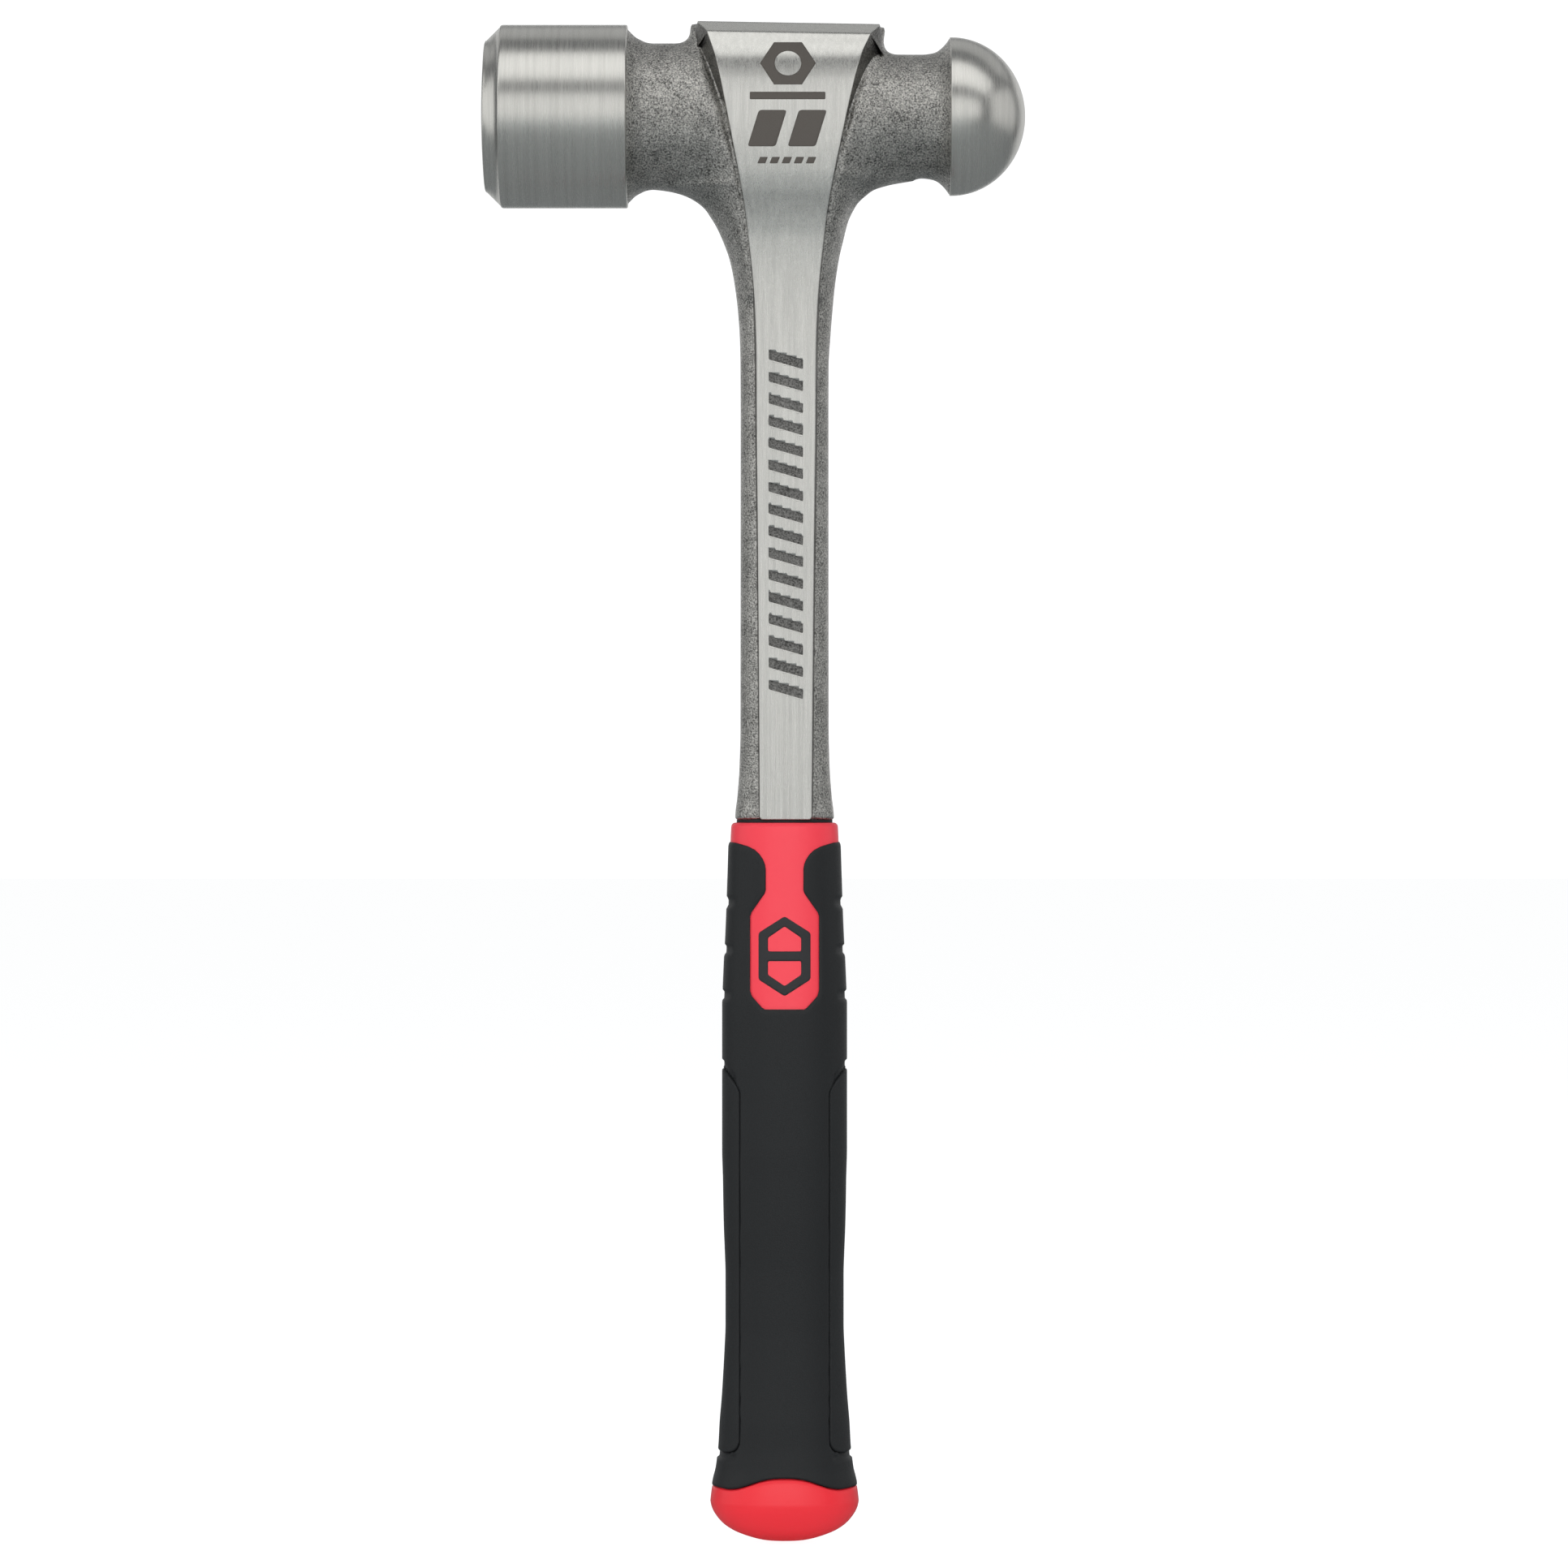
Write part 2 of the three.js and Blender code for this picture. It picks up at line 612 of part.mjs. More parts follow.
function pad(side) {
  const low = PAD_FOOT - 2;
  const high = collar - PAD_TOP + 6;
  const shell = gripSkin(0, low, high).subtract(gripSkin(PAD_THICKNESS, low, high));
  return shell.intersect(padOutline(side, 0));
}

function overmould() {
  const outside = gripSkin(0, WAVE_MID - 2 * WAVE_HEIGHT, collar - 1);
  let made = outside
    .subtract(gripSkin(OVERMOULD, WAVE_MID - 3 * WAVE_HEIGHT, collar))
    .subtract(acrossGrip(0))
    .subtract(belowWave(0));
  const padDepth = PAD_THICKNESS + GAP;
  for (const side of [-1, 1]) {
    const bed = padOutline(side, GAP).subtract(gripSkin(padDepth, PAD_FOOT - 9, collar - PAD_TOP + 12));
    made = made.subtract(bed);
    const channels = [collar - PAD_TOP + GAP + CHANNEL / 2, PAD_FOOT - GAP - CHANNEL / 2];
    const cuts = [
      ...RIB_FROM_COLLAR.map((drop) => [collar - drop, RIB_HEIGHT]),
      ...channels.map((z) => [z, CHANNEL]),
    ];
    for (const [z, height] of cuts) {
      const x = side * (gripWidth(z) - RIB_DEPTH);
      const far = side * (BUTT_HALF_WIDTH + 2);
      made = made.subtract(
        block(
          [Math.min(x, far), -BUTT_HALF_WIDTH, z - height / 2],
          [Math.max(x, far), BUTT_HALF_WIDTH, z + height / 2],
        ),
      );
    }
  }
  return made;
}

function buttCap() {
  const dome = steps(0.1, Math.PI / 2, 8).map((a) => {
    const half = BUTT_HALF_WIDTH * Math.sin(a);
    return oval(BUTT_HEIGHT * (1 - Math.cos(a)), half, half, half * OVAL, OVAL_POWER, RING);
  });
  const rim = steps(BUTT_HEIGHT, WAVE_MID + 3 * WAVE_HEIGHT, 3).slice(1).map((z) => {
    const half = gripWidth(z) - PROUD / 2;
    return oval(z, half, half, half * OVAL, OVAL_POWER, RING);
  });
  const shown = solid(loft([...dome, ...rim])).intersect(belowWave(GAP));
  const step = gripSkin(OVERMOULD + GAP, BUTT_HEIGHT, coreFoot - GAP);
  const spigot = roundColumn(
    sleeveHalfWidth - 1,
    sleeveHalfThickness - 1,
    BUTT_HEIGHT,
    Math.min(coreFoot + SPIGOT_LENGTH, sleeveFoot - GAP),
  );
  return shown.add(step).add(spigot);
}

// ---- The assembly ----
const [sleeveFront, sleeveBack] = sleeveHalves();
const hammer = new THREE.Group();
hammer.add(
  mesh("forged_head_and_shaft", forging(), steel),
  mesh("shoulder_gasket", gasket(), gasketRubber),
  mesh("fork_sleeve_front", sleeveFront, greyNylon),
  mesh("fork_sleeve_back", sleeveBack, greyNylon),
  mesh("grip_core", core(), red),
  mesh("grip_overmould", overmould(), blackRubber),
  mesh("side_pad_poll", pad(-1), padRubber),
  mesh("side_pad_ball", pad(1), padRubber),
  mesh("badge_front", badge(-1), blackRubber),
  mesh("badge_back", badge(1), blackRubber),
  mesh("butt_cap", buttCap(), red),
);
// The layout counts up from the butt, and the part's origin is the middle of the grip.
hammer.position.z = -GRIP_LENGTH / 2;

const part = new THREE.Group();
part.add(hammer);
export default part;
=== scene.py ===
"""The ball peen hammer's looks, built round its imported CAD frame. Lengths are in millimetres until a mesh is
made, and heights count up from the lowest point of the butt, as in the CAD."""

import math

import bmesh
import bpy
import numpy as np
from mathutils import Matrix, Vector
from mathutils.geometry import delaunay_2d_cdt


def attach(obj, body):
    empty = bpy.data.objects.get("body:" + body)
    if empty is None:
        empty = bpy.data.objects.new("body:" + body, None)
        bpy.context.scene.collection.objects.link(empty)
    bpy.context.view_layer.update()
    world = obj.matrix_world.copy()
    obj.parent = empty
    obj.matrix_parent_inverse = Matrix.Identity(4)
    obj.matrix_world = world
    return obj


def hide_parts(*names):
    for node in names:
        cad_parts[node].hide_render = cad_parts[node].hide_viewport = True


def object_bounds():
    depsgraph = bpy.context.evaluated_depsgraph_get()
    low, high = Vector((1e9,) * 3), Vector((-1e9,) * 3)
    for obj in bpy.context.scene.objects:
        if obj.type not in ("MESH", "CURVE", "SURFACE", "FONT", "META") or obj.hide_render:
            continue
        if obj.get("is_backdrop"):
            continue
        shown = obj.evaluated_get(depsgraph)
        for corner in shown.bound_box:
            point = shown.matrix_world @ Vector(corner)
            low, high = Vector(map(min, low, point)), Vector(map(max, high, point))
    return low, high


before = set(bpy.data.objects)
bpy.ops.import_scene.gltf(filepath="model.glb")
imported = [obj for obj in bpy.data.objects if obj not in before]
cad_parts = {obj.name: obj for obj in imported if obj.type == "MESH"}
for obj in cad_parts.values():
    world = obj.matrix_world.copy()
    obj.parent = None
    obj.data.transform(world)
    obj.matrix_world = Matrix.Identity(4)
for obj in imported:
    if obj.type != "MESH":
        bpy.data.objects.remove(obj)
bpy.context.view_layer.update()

MM = 0.001
ORIGIN_Z = 95.9  # the CAD's origin, above the butt
HEAD_Z = 380.4  # the head's axis
SHOULDER_Z = 192.55
COLLAR_Z = 191.8


# ---------------------------------------------------------------- curves
def through(stations):
    """A smooth, monotone curve through (position, value) stations, for arrays."""
    xs, ys = (np.array(v, float) for v in zip(*sorted(stations)))
    slopes = np.diff(ys) / np.diff(xs)
    tangents = np.zeros_like(ys)
    tangents[0], tangents[-1] = slopes[0], slopes[-1]
    same = slopes[:-1] * slopes[1:] > 0
    total = np.where(same, slopes[:-1] + slopes[1:], 1.0)
    tangents[1:-1] = np.where(same, 2 * slopes[:-1] * slopes[1:] / total, 0.0)

    def curve(x):
        x = np.clip(x, xs[0], xs[-1])
        i = np.clip(np.searchsorted(xs, x) - 1, 0, len(xs) - 2)
        step = xs[i + 1] - xs[i]
        t = (x - xs[i]) / step
        value = (2 * t**3 - 3 * t**2 + 1) * ys[i] + (3 * t**2 - 2 * t**3) * ys[i + 1]
        return value + step * ((t**3 - 2 * t**2 + t) * tangents[i] + (t**3 - t**2) * tangents[i + 1])

    return curve


def smooth(t):
    """0 to 1 with level ends."""
    t = np.clip(t, 0, 1)
    return t * t * (3 - 2 * t)


def blend_min(a, b, radius):
    """The smaller of two distances, rounded over where they meet."""
    near = np.maximum(radius - np.abs(a - b), 0) / radius
    return np.minimum(a, b) - near * near * radius / 4


# The polished panel: half thickness, half width and middle, by height
panel_y = through(
    [
        (402.4, 12.25), (400.0, 13.55), (397.3, 14.9), (394.3, 16.0), (391.0, 16.7), (388.0, 17.1),
        (384.0, 17.35), (378.0, 17.25), (373.0, 17.0), (365.0, 16.2), (360.0, 15.35), (356.0, 14.4),
        (352.0, 13.55), (347.0, 12.75), (338.0, 11.9), (329.0, 11.4), (320.0, 11.1), (300.0, 10.6),
        (270.0, 10.1), (240.0, 9.75), (185.0, 9.75),
    ]
)
panel_half = through(
    [
        (401.7, 21.6), (394.3, 19.1), (383.0, 16.5), (372.6, 14.4), (363.1, 12.5), (354.2, 10.9),
        (346.6, 10.0), (336.8, 8.9), (328.1, 8.25), (316.9, 7.9), (293.4, 7.75), (259.8, 7.4),
        (222.9, 7.1), (190.0, 6.9),
    ]
)
panel_centre = through([(403.0, 1.1), (380.0, 0.65), (350.0, 0.45), (300.0, 0.4), (190.0, 0.3)])

# Half widths of the forged flanks, by height
FLANK = [
    (185.0, 13.3), (193.5, 13.2), (199.0, 12.6), (207.0, 12.05), (217.0, 11.8), (300.0, 11.75),
    (314.0, 11.8),
]
flank_poll = through(
    FLANK
    + [
        (320.6, 11.95), (328.6, 12.5), (337.0, 13.6), (342.5, 14.8), (345.9, 16.0), (349.0, 17.3),
        (351.4, 18.5), (353.5, 19.8), (355.3, 21.0), (356.6, 22.3), (357.6, 23.6), (359.2, 26.2),
        (360.3, 29.0), (361.2, 33.0),
    ]
)
flank_ball = through(
    FLANK
    + [
        (320.6, 12.2), (333.6, 13.3), (342.0, 14.5), (348.1, 15.9), (352.4, 17.0), (355.0, 18.2),
        (357.0, 19.4), (358.3, 20.6), (359.4, 21.9), (360.5, 23.3), (361.1, 24.5), (362.2, 28.0),
        (363.2, 33.0),
    ]
)

# Half widths of the cheek, by height
CHEEK_FROM = 336.0
CHEEK_LOW = (330.0, 6.5)  # below its foot, inside the flanks
cheek_poll = through(
    [CHEEK_LOW, (345.0, 10.5), (363.0, 17.0), (380.0, 20.6), (392.0, 22.6), (400.0, 24.5), (406.0, 25.5)]
)
cheek_ball = through(
    [CHEEK_LOW, (345.0, 10.8), (363.0, 17.8), (380.0, 21.8), (392.0, 24.2), (400.0, 26.3), (406.0, 27.3)]
)

# Radii of the necks, by distance from the shaft's axis
NECK_ROOT = (0.0, 17.6)
neck_poll = through(
    [
        (-43.0, 24.1), (-41.9, 23.2), (-41.0, 22.3), (-39.7, 21.1), (-38.4, 20.4), (-37.1, 19.8),
        (-35.1, 19.5), (-25.0, 19.5), NECK_ROOT,
    ]
)
neck_ball = through(
    [
        NECK_ROOT, (25.0, 16.6), (36.7, 16.5), (39.3, 16.8), (40.6, 17.25), (41.9, 18.2),
        (43.2, 19.6), (44.0, 20.7), (45.5, 22.0),
    ]
)

# Over the panel's top edge: how far the face has drawn in towards the crown, by height
KNEE_FROM = 401.4
KNEE = [
    (401.4, 0.0), (401.8, 0.25), (402.05, 0.5), (402.3, 0.85), (403.0, 2.1), (403.7, 3.35), (404.4, 4.6),
    (404.85, 5.45), (405.2, 6.5),
]
CROWN_TOP = 405.75
CROWN_HALF = 1.0  # half thickness left at the very top
TOP_FALL = 0.017  # the top drops this much per millimetre towards the ball
FALL_PIVOT = -23.0  # and by nothing here
FALL_FROM, FALL_OVER = 396.0, 6.0  # heights over which that drop sets in


def depth_of_face(z):
    """Half thickness of the polished strip's face at a height, over the knee too."""
    edge = float(panel_y(KNEE_FROM))
    heights = [k[0] for k in KNEE] + [CROWN_TOP]
    over_edge = np.interp(z, heights, [edge - k[1] for k in KNEE] + [CROWN_HALF])
    return np.where(z < KNEE_FROM, panel_y(z), over_edge)


def top_fall(x, z):
    """How far the sloping top has dropped at a place."""
    return TOP_FALL * (x - FALL_PIVOT) * smooth((z - FALL_FROM) / FALL_OVER)


WALL_SLOPE = 1.7  # of the walls beside the panel, near the top of the cheek


def wall_drop(z):
    """Depth of the wall beside the panel, from its edge down to the forging."""
    return np.interp(z, [330, 350, 372, 382, 392, 402], [1.15, 1.2, 1.4, 2.0, 4.2, 6.0])


def radial(x, y, half_x, half_y, exponent):
    """Signed distance, measured along the ray from the axis, to a superellipse."""
    reach = np.hypot(x, y) + 1e-6
    share = (np.abs(x / half_x) ** exponent + np.abs(y / half_y) ** exponent) ** (1 / exponent) + 1e-9
    return reach - reach / share


FACE_PROUD = 0.55  # the polished faces stand this far above the flanks
FLANKS_TO = 374.0  # the flanks end inside the cheek
SHOULDER_ROUND = 0.8  # where the shaft ends above the collar


def flanks_at(x, y, z, deep):
    """The shaft and its flare under the head, squarer low down than near the head."""
    side = np.where(x < 0, flank_poll(z), flank_ball(z))
    squareness = np.interp(z, [300, 345, 355, 363], [2.6, 2.3, 1.9, 1.5])
    flanks = radial(x, y, side, deep - FACE_PROUD, squareness)
    flanks = np.maximum(flanks, z - FLANKS_TO)
    foot = np.clip((SHOULDER_Z + SHOULDER_ROUND - z) / SHOULDER_ROUND, 0, 1)
    pulled_in = SHOULDER_ROUND * (1 - np.sqrt(np.maximum(1 - foot**2, 0)))
    return np.maximum(flanks + pulled_in, SHOULDER_Z - z)


CHEEK_SUNK = 0.75  # the cheek lies this far under the polished face
CHEEK_SQUARENESS = 3.3
CHEEK_ROUND = 2.4  # over its top edges, and the least half thickness it comes down to
CHEEK_TOP = CROWN_TOP - 0.25
CHEEK_TOP_SLOPE = 0.013
CHEEK_TOP_CROWN = 0.001  # fall per square of the distance from the middle, front and back


def cheek_at(x, y, z, deep):
    """The block between the necks, rounded over along its sloping top."""
    wide = np.where(x < 0, cheek_poll(z), cheek_ball(z))
    top = CHEEK_TOP - CHEEK_TOP_SLOPE * (x - FALL_PIVOT) - CHEEK_TOP_CROWN * y * y
    cheek = radial(x, y, wide, np.maximum(deep - CHEEK_SUNK, CHEEK_ROUND), CHEEK_SQUARENESS)
    cheek = -blend_min(-cheek, -(z - top), CHEEK_ROUND)
    return np.maximum(cheek, CHEEK_FROM - z)


NECK_OVAL_POLL, NECK_OVAL_BALL = 0.9, 0.94  # depth of each neck over its height
NECKS_FROM, NECKS_TO = -42.3, 44.3


def necks_at(x, y, z):
    """The necks towards poll and ball, a little flattened front and back."""
    poll = np.hypot(y / NECK_OVAL_POLL, z - HEAD_Z) - neck_poll(x)
    ball = np.hypot(y / NECK_OVAL_BALL, z - HEAD_Z) - neck_ball(x)
    necks = np.where(x < 0, poll, ball)
    return np.maximum(necks, np.maximum(NECKS_FROM - x, x - NECKS_TO))


NECK_FILLET = 5.0
FLARE_FILLET = 4.0  # under the head at mid depth; it grows towards the front and the back
BED_DEPTH = 0.6  # of the flat under the polished panel, below its face
BED_ROUND = 1.0
BED_RISE = 0.9  # slope back up to the forging beyond the wall's foot


def forging(x, y, z):
    """Signed distance to the blasted body: flanks, cheek and the two necks."""
    deep = depth_of_face(z + top_fall(x, z))
    head = blend_min(cheek_at(x, y, z, deep), necks_at(x, y, z), NECK_FILLET)
    fillet = FLARE_FILLET + 0.7 * np.clip(np.abs(y) - 3.0, 0, 9)
    whole = blend_min(head, flanks_at(x, y, z, deep), fillet)
    # Under the polished panel the forging is flat, and just beside it stays below the panel's edge.
    beside = np.maximum(np.abs(x - panel_centre(z)) - panel_half(z), 0)
    sunk = wall_drop(z) - 0.5
    away = np.maximum(-WALL_SLOPE * beside, BED_RISE * (beside - sunk / WALL_SLOPE) - sunk)
    bed = np.abs(y) - (deep - BED_DEPTH) - away
    return -blend_min(-whole, -bed, BED_ROUND)


# ---------------------------------------------------------------- meshes
def obj_from(name, vertices, faces, materials, flat=False):
    """vertices in millimetres, faces as lists or an (n, 3 or 4) array; materials is one or several."""
    v = np.array(vertices, float) * MM
    v[:, 2] -= ORIGIN_Z * MM
    mesh = bpy.data.meshes.new(name)
    if isinstance(faces, np.ndarray):
        n, k = faces.shape
        mesh.vertices.add(len(v))
        mesh.vertices.foreach_set("co", v.ravel())
        mesh.loops.add(n * k)
        mesh.loops.foreach_set("vertex_index", faces.ravel().astype(np.int32))
        mesh.polygons.add(n)
        mesh.polygons.foreach_set("loop_start", np.arange(0, n * k, k, dtype=np.int32))
        mesh.update(calc_edges=True)
    else:
        mesh.from_pydata(v.tolist(), [], faces)
    mesh.validate()
    mesh.polygons.foreach_set("use_smooth", [not flat] * len(mesh.polygons))
    for m in materials if isinstance(materials, (list, tuple)) else [materials]:
        mesh.materials.append(m)
    obj = bpy.data.objects.new(name, mesh)
    bpy.context.scene.collection.objects.link(obj)
    return obj


def sharpen(obj, degrees):
    """Edges turning more than this shade as sharp."""
    with bpy.context.temp_override(object=obj, active_object=obj, selected_objects=[obj]):
        bpy.context.view_layer.objects.active = obj
        bpy.ops.object.shade_smooth_by_angle(angle=math.radians(degrees))


def sheet_faces(rows, columns, wrap):
    """Quads over a grid of points stored row by row."""
    span = columns if wrap else columns - 1
    r, c = np.meshgrid(np.arange(rows - 1), np.arange(span), indexing="ij")
    here, beyond = r * columns, (r + 1) * columns
    after = (c + 1) % columns
    return np.stack([here + c, here + after, beyond + after, beyond + c], -1).reshape(-1, 4)


def closed_loft(name, rings, materials, degrees=35):
    """A skin over rings of equal counts, capped at both ends."""
    rings = np.asarray(rings, float)
    rows, columns, _ = rings.shape
    faces = [list(map(int, f)) for f in sheet_faces(rows, columns, True)]
    faces.append(list(range(columns))[::-1])
    faces.append([(rows - 1) * columns + c for c in range(columns)])
    obj = obj_from(name, rings.reshape(-1, 3), faces, materials)
    sharpen(obj, degrees)
    return obj


def torus_loft(name, rings, materials, degrees=35):
    """A skin over rings that comes back to the first, as a hollow shell has."""
    rings = np.asarray(rings, float)
    rows, columns, _ = rings.shape
    looped = np.concatenate([rings, rings[:1]])
    faces = sheet_faces(rows + 1, columns, True) % (rows * columns)
    obj = obj_from(name, looped[:-1].reshape(-1, 3), faces, materials)
    sharpen(obj, degrees)
    return obj


def lathe(name, profile, materials, squash=1.0, segments=224, degrees=28):
    """(x, radius) points turned about the head's axis, starting and ending on it."""
    angle = np.linspace(0, 2 * math.pi, segments, endpoint=False)
    points, rings = [], []
    for x, r in profile:
        if r < 1e-6:
            rings.append([len(points)])
            points.append((x, 0.0, HEAD_Z))
        else:
            rings.append(list(range(len(points), len(points) + segments)))
            points += [(x, squash * r * math.cos(a), HEAD_Z + r * math.sin(a)) for a in angle]
    faces = []
    for low, high in zip(rings, rings[1:]):
        for k in range(segments):
            n = (k + 1) % segments
            if len(low) == 1:
                faces.append([low[0], high[k], high[n]])
            elif len(high) == 1:
                faces.append([low[k], high[0], low[n]])
            else:
                faces.append([low[k], high[k], high[n], low[n]])
    obj = obj_from(name, points, faces, materials)
    face_outward(obj)
    sharpen(obj, degrees)
    return obj


def face_outward(obj):
    """Turns every face of a closed mesh outward."""
    bm = bmesh.new()
    bm.from_mesh(obj.data)
    bmesh.ops.recalc_face_normals(bm, faces=bm.faces)
    bm.to_mesh(obj.data)
    bm.free()


def surface_of(distance, low, high, pitch):
    """The zero surface of a signed distance as quads: surface nets, whose vertices are pulled onto it."""
    axes = [np.arange(a, b + pitch, pitch) for a, b in zip(low, high)]
    nx, ny, nz = (len(a) for a in axes)
    field = np.empty((nx, ny, nz), np.float32)
    for i in range(0, nx, 16):
        x, y, z = np.meshgrid(axes[0][i : i + 16], axes[1], axes[2], indexing="ij")
        field[i : i + 16] = distance(x, y, z)
    inside = field < 0
    cell = np.zeros((nx - 1, ny - 1, nz - 1), np.int8)
    corners = [(a, b, c) for a in (0, 1) for b in (0, 1) for c in (0, 1)]
    for a, b, c in corners:
        cell += inside[a : nx - 1 + a, b : ny - 1 + b, c : nz - 1 + c]
    active = np.argwhere((cell > 0) & (cell < 8))
    index = np.full(cell.shape, -1, np.int64)
    index[tuple(active.T)] = np.arange(len(active))
    total, count = np.zeros((len(active), 3)), np.zeros(len(active))
    for p in corners:
        for axis in range(3):
            if p[axis]:
                continue
            q = tuple(v + (k == axis) for k, v in enumerate(p))
            fp = field[tuple((active + p).T)].astype(float)
            fq = field[tuple((active + q).T)].astype(float)
            cross = (fp < 0) != (fq < 0)
            t = np.where(cross, fp / np.where(cross, fp - fq, 1), 0)
            spot = np.repeat([p], len(active), 0).astype(float)
            spot[:, axis] += t
            total[cross] += spot[cross]
            count[cross] += 1
    v = np.array(low) + pitch * (active + total / count[:, None])
    nudge = 0.02
    for _ in range(4):
        off = distance(*v.T)
        slopes = []
        for e in nudge * np.eye(3):
            slopes.append((distance(*(v + e).T) - distance(*(v - e).T)) / (2 * nudge))
        g = np.stack(slopes, -1)
        step = -off[:, None] * g / np.maximum((g * g).sum(1), 0.2)[:, None]
        v += np.clip(step, -0.5 * pitch, 0.5 * pitch)
    faces = []
    for axis in range(3):
        u, w = (axis + 1) % 3, (axis + 2) % 3
        a = [slice(None)] * 3
        b = [slice(None)] * 3
        a[axis], b[axis] = slice(0, -1), slice(1, None)
        change = inside[tuple(a)] != inside[tuple(b)]
        edges = np.argwhere(change)
        edges = edges[(edges[:, u] > 0) & (edges[:, w] > 0)]
        edges = edges[(edges[:, u] < field.shape[u] - 1) & (edges[:, w] < field.shape[w] - 1)]
        ring = []
        for du, dw in ((1, 1), (0, 1), (0, 0), (1, 0)):
            at = edges.copy()
            at[:, u] -= du
            at[:, w] -= dw
            ring.append(index[tuple(at.T)])
        quad = np.stack(ring, -1)
        flip = ~inside[tuple(edges.T)]
        quad[flip] = quad[flip][:, ::-1]
        faces.append(quad)
    return v, np.concatenate(faces)


def cut(obj, cutter, tangled=False):
    """Takes cutter out of obj for good; the cutter's own materials show on the cut. tangled is for an obj
    that touches itself."""
    difference = obj.modifiers.new("cut", "BOOLEAN")
    difference.operation = "DIFFERENCE"
    difference.solver = "EXACT"
    difference.material_mode = "TRANSFER"
    difference.use_self = tangled
    difference.object = cutter
    bpy.context.view_layer.update()
    result = bpy.data.meshes.new_from_object(obj.evaluated_get(bpy.context.evaluated_depsgraph_get()))
    obj.modifiers.clear()
    old, obj.data = obj.data, result
    bpy.data.meshes.remove(old)
    bpy.data.objects.remove(cutter)


# ---------------------------------------------------------------- materials
class Nodes:
    """A material's node tree, with short calls for the nodes used here."""

    def __init__(self, name, **sockets):
        self.material = bpy.data.materials.new(name)
        self.material.use_nodes = True
        self.tree = self.material.node_tree
        self.shader = self.tree.nodes["Principled BSDF"]
        for key, value in sockets.items():
            self.shader.inputs[key.replace("_", " ")].default_value = value
        self.place = self.add("ShaderNodeTexCoord").outputs["Object"]

    def add(self, kind, **settings):
        node = self.tree.nodes.new(kind)
        for key, value in settings.items():
            setattr(node, key, value)
        return node

    def link(self, source, target):
        self.tree.links.new(source, target)

    def noise(self, scale, detail=2.0, stretch=(1, 1, 1), rough=0.5):
        mapping = self.add("ShaderNodeMapping")
        mapping.inputs["Scale"].default_value = stretch
        self.link(self.place, mapping.inputs["Vector"])
        node = self.add("ShaderNodeTexNoise")
        node.inputs["Scale"].default_value = scale
        node.inputs["Detail"].default_value = detail
        node.inputs["Roughness"].default_value = rough
        self.link(mapping.outputs[0], node.inputs["Vector"])
        return node.outputs["Fac"]

    def ranged(self, value, low, high, out_low, out_high):
        node = self.add("ShaderNodeMapRange")
        for key, number in zip(("From Min", "From Max", "To Min", "To Max"), (low, high, out_low, out_high)):
            node.inputs[key].default_value = number
        self.link(value, node.inputs["Value"])
        return node.outputs[0]

    def colours(self, value, stops):
        ramp = self.add("ShaderNodeValToRGB")
        while len(ramp.color_ramp.elements) < len(stops):
            ramp.color_ramp.elements.new(0.5)
        for element, (at, colour) in zip(ramp.color_ramp.elements, stops):
            element.position = at
            element.color = (*colour, 1)
        self.link(value, ramp.inputs["Fac"])
        return ramp.outputs["Color"]

    def bump(self, heights):
        """heights is a list of (value, strength, distance in metres)."""
        normal = None
        for value, strength, distance in heights:
            node = self.add("ShaderNodeBump")
            node.inputs["Strength"].default_value = strength
            node.inputs["Distance"].default_value = distance
            self.link(value, node.inputs["Height"])
            if normal:
                self.link(normal, node.inputs["Normal"])
            normal = node.outputs["Normal"]
        self.link(normal, self.shader.inputs["Normal"])

    def drive(self, socket, value):
        self.link(value, self.shader.inputs[socket])


def brushed_steel(name, stretch, tint, rough, grain):
    """Ground steel with fine lines; stretch is small along the lines."""
    m = Nodes(name, Metallic=1.0, Base_Color=(*tint, 1))
    fine = m.noise(4200, 3, stretch, 0.65)
    broad = m.noise(900, 3, stretch)
    m.drive("Roughness", m.ranged(fine, 0.3, 0.7, *rough))
    dark = tuple(c * 0.93 for c in tint)
    light = tuple(min(1, c * 1.05) for c in tint)
    m.drive("Base Color", m.colours(broad, [(0.32, dark), (0.68, light)]))
    m.bump([(fine, grain, 0.00004), (broad, 0.04, 0.0001)])
    return m.material


def blasted_steel(name, dark, light, rough=0.32):
    """Shot-blasted steel: a fine grain of light and dark spots, with faint clouds."""
    m = Nodes(name, Metallic=1.0, Roughness=rough)
    grain = m.noise(2300, 3, (1, 1, 1), 0.6)
    cloud = m.noise(220, 3)
    mixed = m.add("ShaderNodeMath", operation="ADD")
    m.link(m.ranged(grain, 0.3, 0.7, 0, 0.82), mixed.inputs[0])
    m.link(m.ranged(cloud, 0.3, 0.7, 0, 0.18), mixed.inputs[1])
    m.drive("Base Color", m.colours(mixed.outputs[0], [(0.15, dark), (0.85, light)]))
    m.bump([(grain, 0.8, 0.0003), (cloud, 0.1, 0.0005)])
    return m.material


def moulded(name, colour, rough, grain_scale, grain, specular=0.5):
    """Plastic or rubber with a fine moulded grain."""
    m = Nodes(name, Base_Color=(*colour, 1), Specular_IOR_Level=specular)
    fine = m.noise(grain_scale, 2)
    m.drive("Roughness", m.ranged(fine, 0.3, 0.7, rough - 0.04, rough + 0.05))
    m.bump([(fine, grain, 0.00012)])
    return m.material


